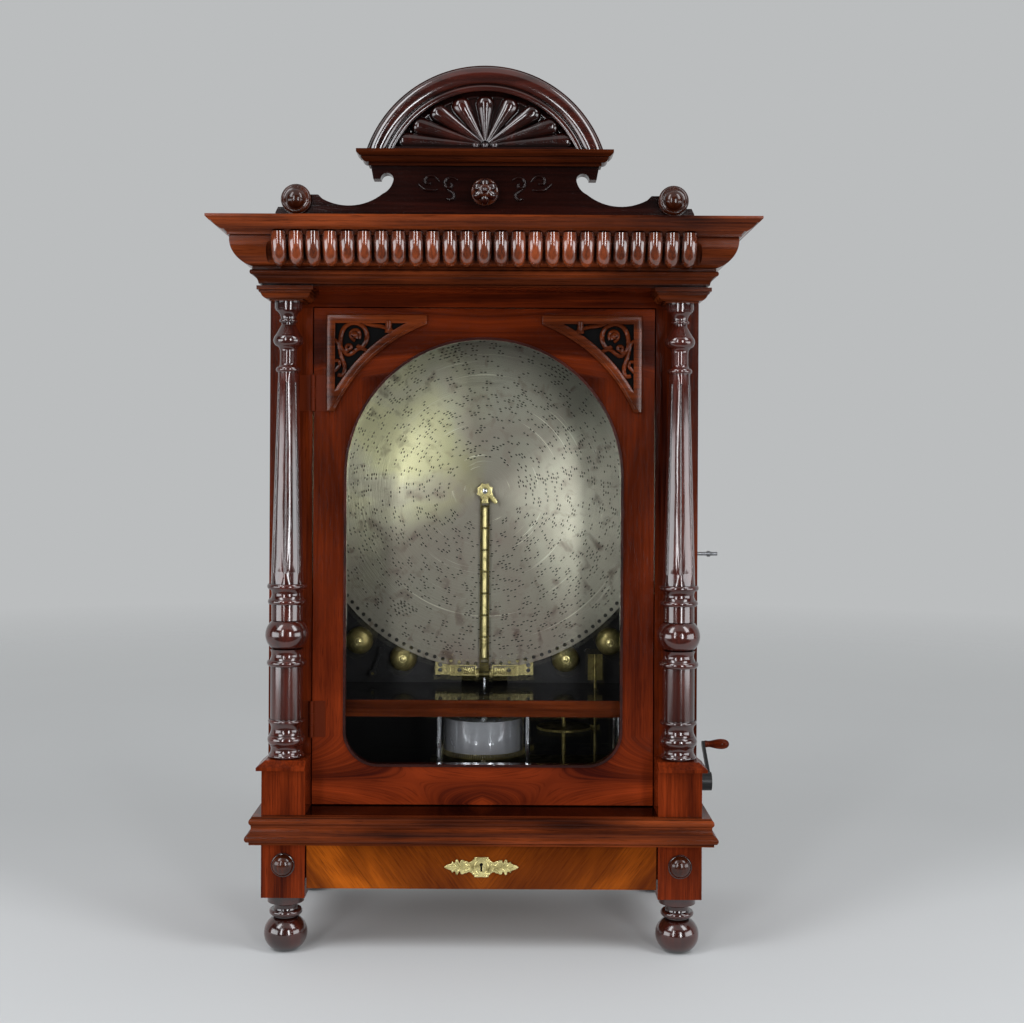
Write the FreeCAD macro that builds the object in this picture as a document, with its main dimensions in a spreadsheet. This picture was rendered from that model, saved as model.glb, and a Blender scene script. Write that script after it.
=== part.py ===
import FreeCAD, Part
import math
import operator
import os

import Sketcher

# An upright disc music box: a columned wooden case with a glazed door and a drawer,
# a punched steel disc, its pressure bar, bells and combs, and a spring motor under the shelf.
# +X is to the right, the front faces -Y, +Z is up, and the floor is z = 0.

Vector = FreeCAD.Vector
doc = FreeCAD.newDocument("disc_music_box")
sheet = doc.addObject("Spreadsheet::Sheet", "Sizes")
aliases = []
nodes = {}
pockets = []


class Size:
    """A number together with the sheet expression that gives it."""

    def __init__(self, value, text):
        self.value = float(value)
        self.text = text

    def __float__(self):
        return self.value

    def __add__(self, other):
        return combine(self, "+", other)

    def __radd__(self, other):
        return combine(other, "+", self)

    def __sub__(self, other):
        return combine(self, "-", other)

    def __rsub__(self, other):
        return combine(other, "-", self)

    def __mul__(self, other):
        return combine(self, "*", other)

    def __rmul__(self, other):
        return combine(other, "*", self)

    def __truediv__(self, other):
        return combine(self, "/", other)

    def __neg__(self):
        return combine(0, "-", self)


OPERATORS = {"+": operator.add, "-": operator.sub, "*": operator.mul, "/": operator.truediv}


def as_size(number):
    """The number as a Size, with its own digits as the expression if it is a plain one."""
    if isinstance(number, Size):
        return number
    return Size(number, f"({float(number)!r})")


def combine(left, sign, right):
    """Two sizes joined by an operator, as a number and as an expression."""
    left = as_size(left)
    right = as_size(right)
    value = OPERATORS[sign](left.value, right.value)
    return Size(value, f"({left.text} {sign} {right.text})")


def size(alias, value):
    """A driving dimension, or one that follows others: one row of the sheet."""
    aliases.append(alias)
    row = len(aliases)
    entry = "=" + value.text.replace("Sizes.", "") if isinstance(value, Size) else str(value)
    sheet.set(f"A{row}", alias.replace("_", " "))
    sheet.set(f"B{row}", entry)
    sheet.setAlias(f"B{row}", alias)
    return Size(value, "Sizes." + alias)


class Stack:
    """Turned or moulded members, one on another: each has a swell, a low and a high reach and a rise."""

    def __init__(self, name, members):
        self.points = []
        self.levels = [as_size(0)]
        self.reaches = []
        for number, (swell, low, high, rise) in enumerate(members, 1):
            low = size(f"{name}_{number}_low", low)
            high = size(f"{name}_{number}_high", high)
            rise = size(f"{name}_{number}_rise", rise)
            start = (low, self.height) if swell == FLAT else (low, self.height, rise * swell)
            self.levels.append(self.height + rise)
            self.points.extend([start, (high, self.height)])
            self.reaches.append(high)

    @property
    def height(self):
        return self.levels[-1]


# Shapes of the members: the share of a member's rise that its face swells out or in.
FLAT = 0.0
SOFT = 0.1
ROUND = 0.25
BULB = 0.33
HOLLOW = -0.15
ARC_CORNER = 1 - math.sqrt(0.5)
TINY = 1e-6

# Shares of one size by another.
SPANDREL_INNER = 0.356
SPANDREL_TOP = 0.982
SPANDREL_FOOT = 0.402
ROSETTE_LEVEL = 0.6
FLOWER_LEVEL = 0.72
FOOT_SHOULDER = 0.68
LOBE_START = 0.2
STAR_ROOT = 0.6
VANE_ROOT = 0.7
CROWN_LEVEL = 0.7
PIN_SHARE = 0.8

# Turned and moulded profiles, from the bottom up: swell, low reach, high reach, rise.
foot = Stack("foot", [
    (BULB, 13, 15, 44),
    (FLAT, 15, 15, 3),
    (ROUND, 20, 20, 7),
    (HOLLOW, 16, 18, 10),
    (FLAT, 24, 24, 11),
])
column = Stack("column", [
    (ROUND, 22, 22, 6),
    (HOLLOW, 22, 22, 11),
    (ROUND, 21.5, 21.5, 14),
    (HOLLOW, 22.5, 22.5, 15),
    (ROUND, 23.2, 23.2, 5),
    (FLAT, 21.2, 21.2, 70),
    (ROUND, 24.3, 24.3, 8),
    (HOLLOW, 22.4, 22.4, 14),
    (ROUND, 19, 19, 38),
    (FLAT, 20.6, 20.6, 21),
    (ROUND, 23.6, 23.6, 7),
    (HOLLOW, 22.2, 22.2, 13),
    (ROUND, 24.6, 24.6, 7),
    (FLAT, 21.5, 13.4, 278),
    (ROUND, 14.6, 14.6, 7),
    (HOLLOW, 14, 11.4, 5),
    (FLAT, 11.2, 11.2, 14.5),
    (HOLLOW, 11.4, 14.2, 7),
    (ROUND, 14.4, 17.4, 15),
    (FLAT, 17.2, 9.6, 14),
    (FLAT, 9.4, 9.4, 3),
    (ROUND, 11, 11, 4.5),
    (HOLLOW, 10, 16.6, 11),
    (FLAT, 17, 17, 2.5),
    (FLAT, 18, 18, 8.5),
])
SHAFT_MEMBER = 13
capital = Stack("capital", [
    (FLAT, 22, 22, 2),
    (ROUND, 24, 32, 8),
    (FLAT, 34, 34, 3),
    (FLAT, 36.5, 36.5, 5),
])
base_moulding = Stack("base_moulding", [
    (FLAT, 14, 14, 4),
    (ROUND, 16.8, 16.8, 9),
    (HOLLOW, 16, 12, 12),
    (ROUND, 12, 12, 9),
    (FLAT, 11, 11, 2),
])
bed_moulding = Stack("bed_moulding", [
    (FLAT, 2, 2, 3),
    (HOLLOW, 6, 13, 11),
    (ROUND, 14.5, 14.5, 6),
    (FLAT, 13, 13, 4),
])
ovolo = Stack("ovolo", [
    (ROUND, 12, 38, 37),
    (FLAT, 41, 41, 3),
])
crown = Stack("crown", [
    (FLAT, 41, 44, 3),
    (SOFT, 47, 58, 9),
    (FLAT, 60, 64.5, 4.4),
    (FLAT, 64.5, 64.5, 3),
])
crest_shelf = Stack("crest_shelf", [
    (FLAT, 3, 3, 4),
    (ROUND, 6, 12, 7),
    (FLAT, 14, 18, 4),
    (FLAT, 18, 18, 4),
])
rosette = Stack("rosette", [
    (FLAT, 15.5, 15.5, 2),
    (HOLLOW, 14.5, 11, 3),
    (BULB, 8.5, 3, 7),
])
boss = Stack("boss", [
    (FLAT, 19.75, 19.75, 5),
    (ROUND, 19, 16, 3),
    (HOLLOW, 15, 10, 3),
    (BULB, 8, 3, 6),
])
flower = Stack("flower", [
    (FLAT, 18, 18, 2),
    (HOLLOW, 17, 12.5, 4),
    (BULB, 10, 3.5, 8),
])
grip = Stack("grip", [
    (FLAT, 5.2, 4.6, 5),
    (HOLLOW, 4.6, 6.2, 9),
    (FLAT, 6.2, 7.2, 4),
    (FLAT, 7.2, 7.5, 3),
    (FLAT, 7.5, 7.3, 4),
    (FLAT, 7.3, 6.3, 5),
    (FLAT, 6.3, 4.6, 3.5),
    (FLAT, 4.6, 2.5, 2.5),
])

# Case
case_width = size("case_width", 573)
case_depth = size("case_depth", 335)
side_board = size("side_board", 18)
back_board = size("back_board", 10)
post_width = size("post_width", 57)
post_rise = size("post_rise", 72)
plinth_rise = size("plinth_rise", 58)
cap_edge = size("cap_edge", 4)
cap_slope = size("cap_slope", 8)
cap_reach = size("cap_reach", 6.5)
cap_inset = size("cap_inset", 4)
column_setback = size("column_setback", 27)
stile_setback = size("stile_setback", 56)
frame_board = size("frame_board", 22)
top_rail_rise = size("top_rail_rise", 20)
flute_count = 7
flute_radius = size("flute_radius", 1.9)
flute_depth = size("flute_depth", 1.7)
flute_margin = size("flute_margin", 14)
cornice_wall = size("cornice_wall", 78)
top_board = size("top_board", 12.4)
gadroon_count = 26
gadroon_margin = size("gadroon_margin", 6.2)
gadroon_radius = size("gadroon_radius", 6.2)
gadroon_floor = size("gadroon_floor", 4.6)

# Crest
crest_setback = size("crest_setback", 15)
crest_board_thick = size("crest_board_thick", 20)
crest_margin = size("crest_margin", 12.1)
boss_inset = size("boss_inset", 27.6)
boss_rise = size("boss_rise", 32.1)
crest_foot_rise = size("crest_foot_rise", 22.6)
crest_lug_rise = size("crest_lug_rise", 39.1)
scoop_sag = size("scoop_sag", 12)
neck_half = size("neck_half", 149.5)
neck_rise = size("neck_rise", 77.2)
hook_rise = size("hook_rise", 60)
foot_slope = size("foot_slope", 3.4)
lug_inner = size("lug_inner", 28.3)
lug_outer = size("lug_outer", 15)
lug_slope = size("lug_slope", 5.7)
lug_drop = size("lug_drop", 5.5)
tip_inset = size("tip_inset", 15.6)
tip_drop = size("tip_drop", 19.4)
tip_sag = size("tip_sag", 3)
throat_inset = size("throat_inset", 29.7)
throat_drop = size("throat_drop", 0.4)
throat_sag = size("throat_sag", 8)
lip_inset = size("lip_inset", 12.8)
lip_width = size("lip_width", 9.6)
arch_half = size("arch_half", 154.5)
arch_rise = size("arch_rise", 110)
arch_thick = size("arch_thick", 30)
arch_rim = size("arch_rim", 26)
arch_recess = size("arch_recess", 14)
lobe_count = 9
lobe_radius = size("lobe_radius", 9)
lobe_root = size("lobe_root", 3)

# Door
door_gap = size("door_gap", 1.5)
glass_stile = size("glass_stile", 42.5)
glass_head = size("glass_head", 40)
glass_sill = size("glass_sill", 52)
glass_corner = size("glass_corner", 48)
glass_thick = size("glass_thick", 3)
glass_rebate = size("glass_rebate", 6)
glass_depth = size("glass_depth", 12)
bead_width = size("bead_width", 3.5)
bead_proud = size("bead_proud", 2)
spandrel_gap = size("spandrel_gap", 32)
spandrel_margin = size("spandrel_margin", 20)
spandrel_strip = size("spandrel_strip", 9)
spandrel_thick = size("spandrel_thick", 6)
scroll_width = size("scroll_width", 4)
scroll_radius = size("scroll_radius", 20)
hinge_length = size("hinge_length", 48)
hinge_inset = size("hinge_inset", 90)
knuckle_radius = size("knuckle_radius", 3)
hinge_pin_radius = size("hinge_pin_radius", 1.5)
hinge_leaf = size("hinge_leaf", 15)
leaf_thick = size("leaf_thick", 1)
hinge_forward = size("hinge_forward", 3.5)
running_gap = size("running_gap", 0.05)
end_gap = size("end_gap", 0.3)

# Drawer
drawer_gap = size("drawer_gap", 2)
drawer_front_thick = size("drawer_front_thick", 18)
drawer_front_setback = size("drawer_front_setback", 1)
drawer_lift = size("drawer_lift", 12.5)
drawer_clear = size("drawer_clear", 73)
drawer_wall = size("drawer_wall", 10)
drawer_side_inset = size("drawer_side_inset", 6.5)
drawer_floor = size("drawer_floor", 5)
drawer_box_lift = size("drawer_box_lift", 4)
drawer_box_drop = size("drawer_box_drop", 6)
rail_thick = size("rail_thick", 20)
rail_inset = size("rail_inset", 4.5)
runner_width = size("runner_width", 55)
runner_thick = size("runner_thick", 6)
escutcheon_half = size("escutcheon_half", 47.5)
escutcheon_rise = size("escutcheon_rise", 12.5)
escutcheon_thick = size("escutcheon_thick", 2.5)
keyhole_radius = size("keyhole_radius", 2.2)
keyhole_slot = size("keyhole_slot", 2)
keyhole_drop = size("keyhole_drop", 6)

# Disc and what drives and holds it
disc_setback = size("disc_setback", 222)
disc_lift = size("disc_lift", 23.4)
disc_gap = size("disc_gap", 10.5)
disc_sheet = size("disc_sheet", 1)
hole_margin = size("hole_margin", 6.5)
hole_radius = size("hole_radius", 2.4)
hole_count = 130
pin_count = 15
pin_radius = size("pin_radius", 1)
pin_reach = size("pin_reach", 2)
pin_root = size("pin_root", 1)
sprocket_clear = size("sprocket_clear", 1.5)
sprocket_thick = size("sprocket_thick", 6)
spindle_radius = size("spindle_radius", 3)
spindle_reach = size("spindle_reach", 13)
spindle_collar = size("spindle_collar", 8)
bed_setback = size("bed_setback", 22)
bed_thick = size("bed_thick", 8)
bed_half = size("bed_half", 205)
bed_head = size("bed_head", 58.6)
bed_notch_clear = size("bed_notch_clear", 3)
bed_notch_rise = size("bed_notch_rise", 40)
bracket_half = size("bracket_half", 71)
bracket_lift = size("bracket_lift", 13.9)
bracket_rise = size("bracket_rise", 21.5)
bracket_waist = size("bracket_waist", 7.5)
bracket_setback = size("bracket_setback", 3)
bracket_thick = size("bracket_thick", 4)
bracket_end = size("bracket_end", 16)
ear_half = size("ear_half", 8)
ear_thick = size("ear_thick", 4)
ear_radius = size("ear_radius", 4.5)
pivot_forward = size("pivot_forward", 8)
pivot_radius = size("pivot_radius", 2)
screw_head = size("screw_head", 3)
screw_proud = size("screw_proud", 1.6)
screw_inset = size("screw_inset", 7)

# Pressure bar
roller_count = 7
roller_radius = size("roller_radius", 4.15)
roller_space = size("roller_space", 3.5)
roller_head = size("roller_head", 20.5)
roller_start = size("roller_start", 40.4)
axle_radius = size("axle_radius", 1)
rail_gap = size("rail_gap", 0.9)
bar_rail = size("bar_rail", 1.6)
bar_depth = size("bar_depth", 5)
eye_outer = size("eye_outer", 9.5)
eye_inner = size("eye_inner", 4.2)

# Combs, star wheels, bells and hammers
star_radius = size("star_radius", 5.5)
star_count = 36
star_points = 8
star_head = size("star_head", 55.4)
star_thick = size("star_thick", 1.4)
star_arbor = size("star_arbor", 1.5)
star_setback = size("star_setback", 6.5)
star_lift = size("star_lift", 46)
lug_half = size("lug_half", 4)
lug_thick = size("lug_thick", 6)
comb_tip = size("comb_tip", 6.5)
comb_root = size("comb_root", 60)
comb_edge = size("comb_edge", 95)
comb_thick = size("comb_thick", 2)
comb_tooth = size("comb_tooth", 3.4)
comb_margin = size("comb_margin", 6)
bell_radius = size("bell_radius", 20)
bell_wall = size("bell_wall", 1.6)
bell_rise = size("bell_rise", 15)
bell_swell = size("bell_swell", 5.5)
bell_clear = size("bell_clear", 4)
bell_comb_gap = size("bell_comb_gap", 3.5)
bell_inner_lift = size("bell_inner_lift", 36.4)
bell_margin = size("bell_margin", 2)
bell_outer_lift = size("bell_outer_lift", 61.4)
bell_post = size("bell_post", 2.5)
bell_nut = size("bell_nut", 4)
hammer_offset = size("hammer_offset", 12.25)
hammer_lift = size("hammer_lift", 14)
hammer_length = size("hammer_length", 36)
hammer_lean = 20
hammer_head = size("hammer_head", 4)
hammer_arm = size("hammer_arm", 4)
hammer_hub = size("hammer_hub", 5)
hammer_setback = size("hammer_setback", 9)
hammer_thick = size("hammer_thick", 5)

# Shelf and spring motor
shelf_lift = size("shelf_lift", 114.6)
shelf_thick = size("shelf_thick", 23)
shelf_setback = size("shelf_setback", 82)
cleat = size("cleat", 16)
plate_thick = size("plate_thick", 6)
motor_depth = size("motor_depth", 87.6)
plate_left = size("plate_left", 78)
plate_edge = size("plate_edge", 15)
plate_front = size("plate_front", 62)
plate_back = size("plate_back", 84)
pillar_radius = size("pillar_radius", 3.2)
pillar_x = size("pillar_x", 62)
pillar_y = size("pillar_y", 45)
pillar_far_x = size("pillar_far_x", 190)
gear_module = size("gear_module", 1)
barrel_teeth = 116
pinion_teeth = 16
train_module = size("train_module", 0.8)
second_teeth = 112
third_teeth = 96
gear_thick = size("gear_thick", 7)
wheel_thick = size("wheel_thick", 3)
gear_lift = size("gear_lift", 20)
barrel_radius = size("barrel_radius", 57)
barrel_rise = size("barrel_rise", 45)
barrel_wall = size("barrel_wall", 1.5)
barrel_floor = size("barrel_floor", 2)
second_lift = size("second_lift", 2.5)
third_drop = size("third_drop", 22)
arbor_radius = size("arbor_radius", 6)
train_arbor = size("train_arbor", 3)
sprocket_arbor = size("sprocket_arbor", 3.5)
fly_arbor = size("fly_arbor", 2)
fly_half = size("fly_half", 10.5)
fly_lift = size("fly_lift", 11)
fly_rise = size("fly_rise", 37)
fly_thick = size("fly_thick", 1)
shaft_hole_gap = size("shaft_hole_gap", 2.5)
second_bearing = 15
third_bearing = -5
fly_bearing = 0

# Winding crank and start rod
crank_lift = size("crank_lift", 7)
crank_shaft_radius = size("crank_shaft_radius", 3.5)
crank_pinion_teeth = 8
crown_teeth = 32
crown_pitch_radius = size("crown_pitch_radius", 20)
crown_face = size("crown_face", 3)
crown_rim = size("crown_rim", 1.5)
crown_plate = size("crown_plate", 3.5)
crown_tooth = size("crown_tooth", 1.4)
crown_depth = size("crown_depth", 2.2)
blade_tip = size("blade_tip", 5.7)
blade_core = size("blade_core", 3)
blade_thick = size("blade_thick", 0.9)
bush_radius = size("bush_radius", 5.5)
bush_proud = size("bush_proud", 4)
block_x = size("block_x", 36)
block_wide = size("block_wide", 12)
block_deep = size("block_deep", 20)
hub_start = size("hub_start", 20.5)
hub_length = size("hub_length", 18)
hub_radius = size("hub_radius", 13)
arm_length = size("arm_length", 80)
arm_width = size("arm_width", 9)
arm_thick = size("arm_thick", 4)
arm_lean = 30
grip_pin = size("grip_pin", 2.2)
rod_setback = size("rod_setback", 125)
rod_height = size("rod_height", 335)
rod_radius = size("rod_radius", 2.5)
rod_tail = size("rod_tail", 22.5)
rod_out = size("rod_out", 36.5)
rod_collar = size("rod_collar", 4)
rod_neck = size("rod_neck", 22.5)

# Places worked out from the driving dimensions
half_case = case_width / 2
cornice_reach = crown.reaches[-1]
front_y = (cornice_reach - case_depth) / 2
back_y = front_y + case_depth
post_foot = foot.height
post_top = post_foot + post_rise
deck_top = post_top + base_moulding.height
post_inner = half_case - post_width
plinth_top = deck_top + plinth_rise + cap_edge + cap_slope
column_x = half_case - post_width / 2
column_y = front_y + column_setback
column_top = plinth_top + column.height
eave_z = column_top + capital.height
cornice_top = eave_z + bed_moulding.height + ovolo.height + crown.height
frame_front = front_y + stile_setback
frame_back = frame_front + frame_board
inside_x = half_case - side_board
inside_back = back_y - back_board
whole_x = (-half_case, half_case)
whole_y = (front_y, back_y)
within_x = (-inside_x, inside_x)
gadroon_pitch = size("gadroon_pitch", (case_width - gadroon_margin) / gadroon_count)
crest_half = size("crest_half", half_case - crest_margin)
boss_x = size("boss_x", crest_half - boss_inset)
glass_half = size("glass_half", post_inner - glass_stile)
spring_z = eave_z - top_rail_rise - glass_head - glass_half
glass_straight = size("glass_straight", spring_z - deck_top - glass_sill - glass_corner)
spandrel_arc = size("spandrel_arc", glass_half + spandrel_gap)
spandrel_outer = size("spandrel_outer", post_inner - spandrel_margin)
spandrel_inner = size("spandrel_inner", spandrel_arc * SPANDREL_INNER)
spandrel_top = size("spandrel_top", spandrel_arc * SPANDREL_TOP)
spandrel_foot = size("spandrel_foot", spandrel_arc * SPANDREL_FOOT)
drawer_length = size("drawer_length", case_depth - drawer_clear)
disc_radius = size("disc_radius", inside_x - disc_gap)
disc_height = size("disc_height", disc_radius + disc_lift)
hole_circle = size("hole_circle", disc_radius - hole_margin)
bed_rise = size("bed_rise", disc_height + bed_head)
roller_pitch = size("roller_pitch", (disc_height - roller_start - roller_head) / roller_count)
roller_length = size("roller_length", roller_pitch - roller_space)
star_pitch = size("star_pitch", (disc_height - star_lift - star_head) / star_count)
bell_inner_x = size("bell_inner_x", comb_edge + bell_radius + bell_comb_gap)
bell_outer_x = size("bell_outer_x", bed_half - bell_radius - bell_margin)
hammer_x = size("hammer_x", (bell_inner_x + bell_outer_x) / 2 + hammer_offset)
plate_right = size("plate_right", pillar_far_x + plate_edge)
rod_inner = size("rod_inner", inside_x - rod_tail)
rod_outer = size("rod_outer", half_case + rod_out)
rod_collar_at = size("rod_collar_at", half_case + rod_neck)
shelf_low = deck_top + shelf_lift
shelf_top = shelf_low + shelf_thick
disc_y = front_y + disc_setback
disc_z = shelf_top + disc_height
disc_front = disc_y - disc_sheet / 2
disc_back = disc_y + disc_sheet / 2
bed_front = disc_y + bed_setback
sprocket_pitch = hole_circle * (pin_count / hole_count)
bed_notch_half = size("bed_notch_half", sprocket_pitch + pin_reach + bed_notch_clear)
sprocket_y = disc_y + sprocket_pitch
sprocket_z = disc_z - hole_circle
barrel_pitch = gear_module * (barrel_teeth / 2)
pinion_pitch = gear_module * (pinion_teeth / 2)
train_pinion_pitch = train_module * (pinion_teeth / 2)
barrel_y = sprocket_y - barrel_pitch - pinion_pitch
motor_low = shelf_low - plate_thick - motor_depth
gear_low = motor_low + plate_thick + gear_lift
drum_low = gear_low + gear_thick
drum_top = drum_low + barrel_rise
crank_z = deck_top + crank_lift


def bearing_point(start, distance, degrees):
    """A point at a distance and a direction from another, in plan."""
    turn = math.radians(degrees)
    return start[0] + distance * math.cos(turn), start[1] + distance * math.sin(turn)


barrel_at = (as_size(0), barrel_y)
sprocket_at = (as_size(0), sprocket_y)
second_at = bearing_point(barrel_at, barrel_pitch + pinion_pitch, second_bearing)
second_pitch = train_module * (second_teeth / 2)
third_pitch = train_module * (third_teeth / 2)
third_at = bearing_point(second_at, second_pitch + train_pinion_pitch, third_bearing)
fly_at = bearing_point(third_at, third_pitch + train_pinion_pitch, fly_bearing)

# Makers of pieces
TURNS = {
    "x": FreeCAD.Rotation(Vector(0, 1, 0), 90),
    "y": FreeCAD.Rotation(Vector(1, 0, 0), -90),
    "front": FreeCAD.Rotation(Vector(1, 0, 0), 90),
    "z": FreeCAD.Rotation(),
}
PLANES = {
    "front": ("XZ_Plane", "y", True),
    "plan": ("XY_Plane", "z", False),
    "side": ("YZ_Plane", "x", False),
}


def bind(thing, prop, value):
    """Ties a property to the sheet."""
    thing.setExpression(prop, as_size(value).text)


def place(thing, x, y, z):
    """Ties a piece's place to the sheet."""
    for axis, value in zip("xyz", (x, y, z)):
        bind(thing, "Placement.Base." + axis, value)
    return thing


def block(name, x, y, z):
    """A board between three pairs of faces."""
    board = doc.addObject("Part::Box", name)
    bind(board, "Length", x[1] - x[0])
    bind(board, "Width", y[1] - y[0])
    bind(board, "Height", z[1] - z[0])
    return place(board, x[0], y[0], z[0])


def rod(name, radius, centre, span, along="z"):
    """A round rod along an axis; centre gives the two other coordinates in x, y, z order."""
    bar = doc.addObject("Part::Cylinder", name)
    bar.Placement = FreeCAD.Placement(Vector(), TURNS[along])
    bind(bar, "Radius", radius)
    bind(bar, "Height", span[1] - span[0])
    spot = list(centre)
    spot.insert("xyz".index(along), span[0])
    return place(bar, *spot)


def cut(name, base, *tools):
    """A piece less one or more others."""
    for number, tool in enumerate(tools):
        step = doc.addObject("Part::Cut", name if tool is tools[-1] else f"{name}_cut_{number}")
        step.Base = base
        step.Tool = tool
        base = step
    return base


def join(name, members):
    """Members made as one solid."""
    whole = doc.addObject("Part::MultiFuse", name)
    whole.Shapes = members
    return whole


def overlap(name, first, *others):
    """What a piece shares with the others."""
    for number, other in enumerate(others):
        step = doc.addObject("Part::Common", name if other is others[-1] else f"{name}_shared_{number}")
        step.Base = first
        step.Tool = other
        first = step
    return first


def mirror(name, source, axis="x", at=0):
    """A mirror image across a plane square to an axis."""
    image = doc.addObject("Part::Mirroring", name)
    image.Source = source
    image.Normal = Vector(*(1.0 if letter == axis else 0.0 for letter in "xyz"))
    bind(image, "Base." + axis, at)
    return image


def shaped(name, shape):
    """A piece whose shape is worked out here from the sheet's numbers."""
    piece = doc.addObject("Part::Feature", name)
    piece.Shape = shape
    return piece


def node(name, *members):
    """Registers a named sub-part: one piece, or a group of like pieces."""
    piece = members[0]
    if len(members) > 1:
        piece = doc.addObject("Part::Compound", name)
        piece.Links = list(members)
    piece.Label = name
    nodes[name] = piece
    return piece


def both_sides(name, right):
    """A named pair: the right-hand piece and its mirror image."""
    return node(name, right, mirror(right.Name + "_left", right))


def outline(body, role, points):
    """A closed sketch through points (across, up) or (across, up, bulge), tied to the sheet.

    A bulge makes the run to the next point an arc that swells to the right of the way it goes."""
    sketch = body.newObject("Sketcher::SketchObject", body.Name + "_outline")
    plane = [item for item in body.Origin.OriginFeatures if item.Role == role][0]
    sketch.AttachmentSupport = [(plane, "")]
    sketch.MapMode = "FlatFace"
    corners = [Vector(float(point[0]), float(point[1]), 0) for point in points]
    count = len(points)
    edges = []
    heads = []
    for number, start in enumerate(corners):
        end = corners[(number + 1) % count]
        bulge = float(points[number][2]) if len(points[number]) > 2 else 0
        heads.append(2 if bulge < 0 else 1)
        run = end - start
        middle = (start + end) * 0.5 + Vector(run.y, -run.x, 0).normalize() * bulge
        if bulge == 0:
            edges.append(Part.LineSegment(start, end))
        elif bulge > 0:
            edges.append(Part.Arc(start, middle, end))
        else:
            edges.append(Part.Arc(end, middle, start))
    sketch.addGeometry(edges, False)
    rules = []
    ties = {}
    for number in range(count):
        after = (number + 1) % count
        rules.append(Sketcher.Constraint("Coincident", number, 3 - heads[number], after, heads[after]))
    for number, point in enumerate(points):
        for kind, value in zip(("DistanceX", "DistanceY"), point):
            if isinstance(value, Size):
                ties[len(rules)] = value
            rules.append(Sketcher.Constraint(kind, number, heads[number], float(value)))
        if len(point) > 2:
            kind, value = arc_centre(point, points[(number + 1) % count])
            ties[len(rules)] = value
            rules.append(Sketcher.Constraint(kind, number, 3, float(value)))
    sketch.addConstraint(rules)
    for index, value in ties.items():
        sketch.setExpression(f"Constraints[{index}]", value.text)
    return sketch


def arc_centre(start, end):
    """Where the centre of the arc between two points lies, across or up, from its chord and bulge."""
    bulge = as_size(start[2])
    across = as_size(end[0]) - start[0]
    up = as_size(end[1]) - start[1]
    square = across * across + up * up
    chord = Size(math.sqrt(square.value), f"sqrt({square.text})")
    offset = (bulge / 2 - square / (8 * bulge)) / chord
    if abs(up.value) > abs(across.value):
        return "DistanceX", (as_size(start[0]) + end[0]) / 2 + up * offset
    return "DistanceY", (as_size(start[1]) + end[1]) / 2 - across * offset


def merged(points):
    """The points less any that repeat the one before."""
    kept = []
    for point in points:
        same = kept and abs(float(kept[-1][0]) - float(point[0])) < TINY
        if same and abs(float(kept[-1][1]) - float(point[1])) < TINY:
            kept[-1] = point
        else:
            kept.append(point)
    return kept


def slab(name, view, points, span):
    """An outline drawn in a view and padded through a span."""
    role, axis, flip = PLANES[view]
    body = doc.addObject("PartDesign::Body", name)
    sketch = outline(body, role, points)
    pad = body.newObject("PartDesign::Pad", name + "_pad")
    pad.Profile = sketch
    bind(pad, "Length", span[1] - span[0])
    pad.Reversed = flip
    body.Tip = pad
    bind(body, "Placement.Base." + axis, span[0])
    return body


def pocket(body, points, depth=None):
    """Cuts an outline into the front of a slab drawn in the front view, to a depth or right through."""
    before = body.Tip
    sketch = outline(body, "XZ_Plane", points)
    hollow = body.newObject("PartDesign::Pocket", body.Name + "_pocket")
    hollow.Profile = sketch
    hollow.Type = "ThroughAll" if depth is None else "Length"
    if depth is not None:
        bind(hollow, "Length", depth)
    body.Tip = hollow
    pockets.append((before, hollow))
    return body


def turned(name, points):
    """A lathe-turned piece about its own upright axis."""
    body = doc.addObject("PartDesign::Body", name)
    sketch = outline(body, "XZ_Plane", merged(points))
    spin = body.newObject("PartDesign::Revolution", name + "_turning")
    spin.Profile = sketch
    spin.ReferenceAxis = (sketch, ["V_Axis"])
    spin.Angle = 360
    body.Tip = spin
    return body


def turned_stack(name, stack, bore=0):
    """A turned piece with a stack's profile, and a bore if it has one."""
    return turned(name, [(bore, 0)] + stack.points + [(bore, stack.height)])


def facing(body, turn, x, y, z):
    """Turns a piece and puts it in its place."""
    body.Placement = FreeCAD.Placement(Vector(), TURNS[turn])
    return place(body, x, y, z)


def two_sided(right):
    """A closed outline from its right-hand side, bottom to top, and the mirror image of it."""
    left = []
    for number in reversed(range(len(right))):
        across, up = right[number][:2]
        swell = right[number - 1][2:] if number else ()
        left.append((-as_size(across), up) + tuple(swell))
    return list(right) + left


def shifted(points, out, up):
    """Stack points moved out and up."""
    return merged([(out + point[0], up + point[1]) + tuple(point[2:]) for point in points])


def fronted(points, front, back, low, high):
    """The side view of a moulded piece whose back is flat and whose front follows stack points."""
    run = shifted(points, 0, low)
    face = []
    for number in reversed(range(len(run))):
        swell = run[number - 1][2:] if number else ()
        face.append((front - run[number][0], run[number][1]) + tuple(swell))
    return [(back, low), (back, high)] + face


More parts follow.
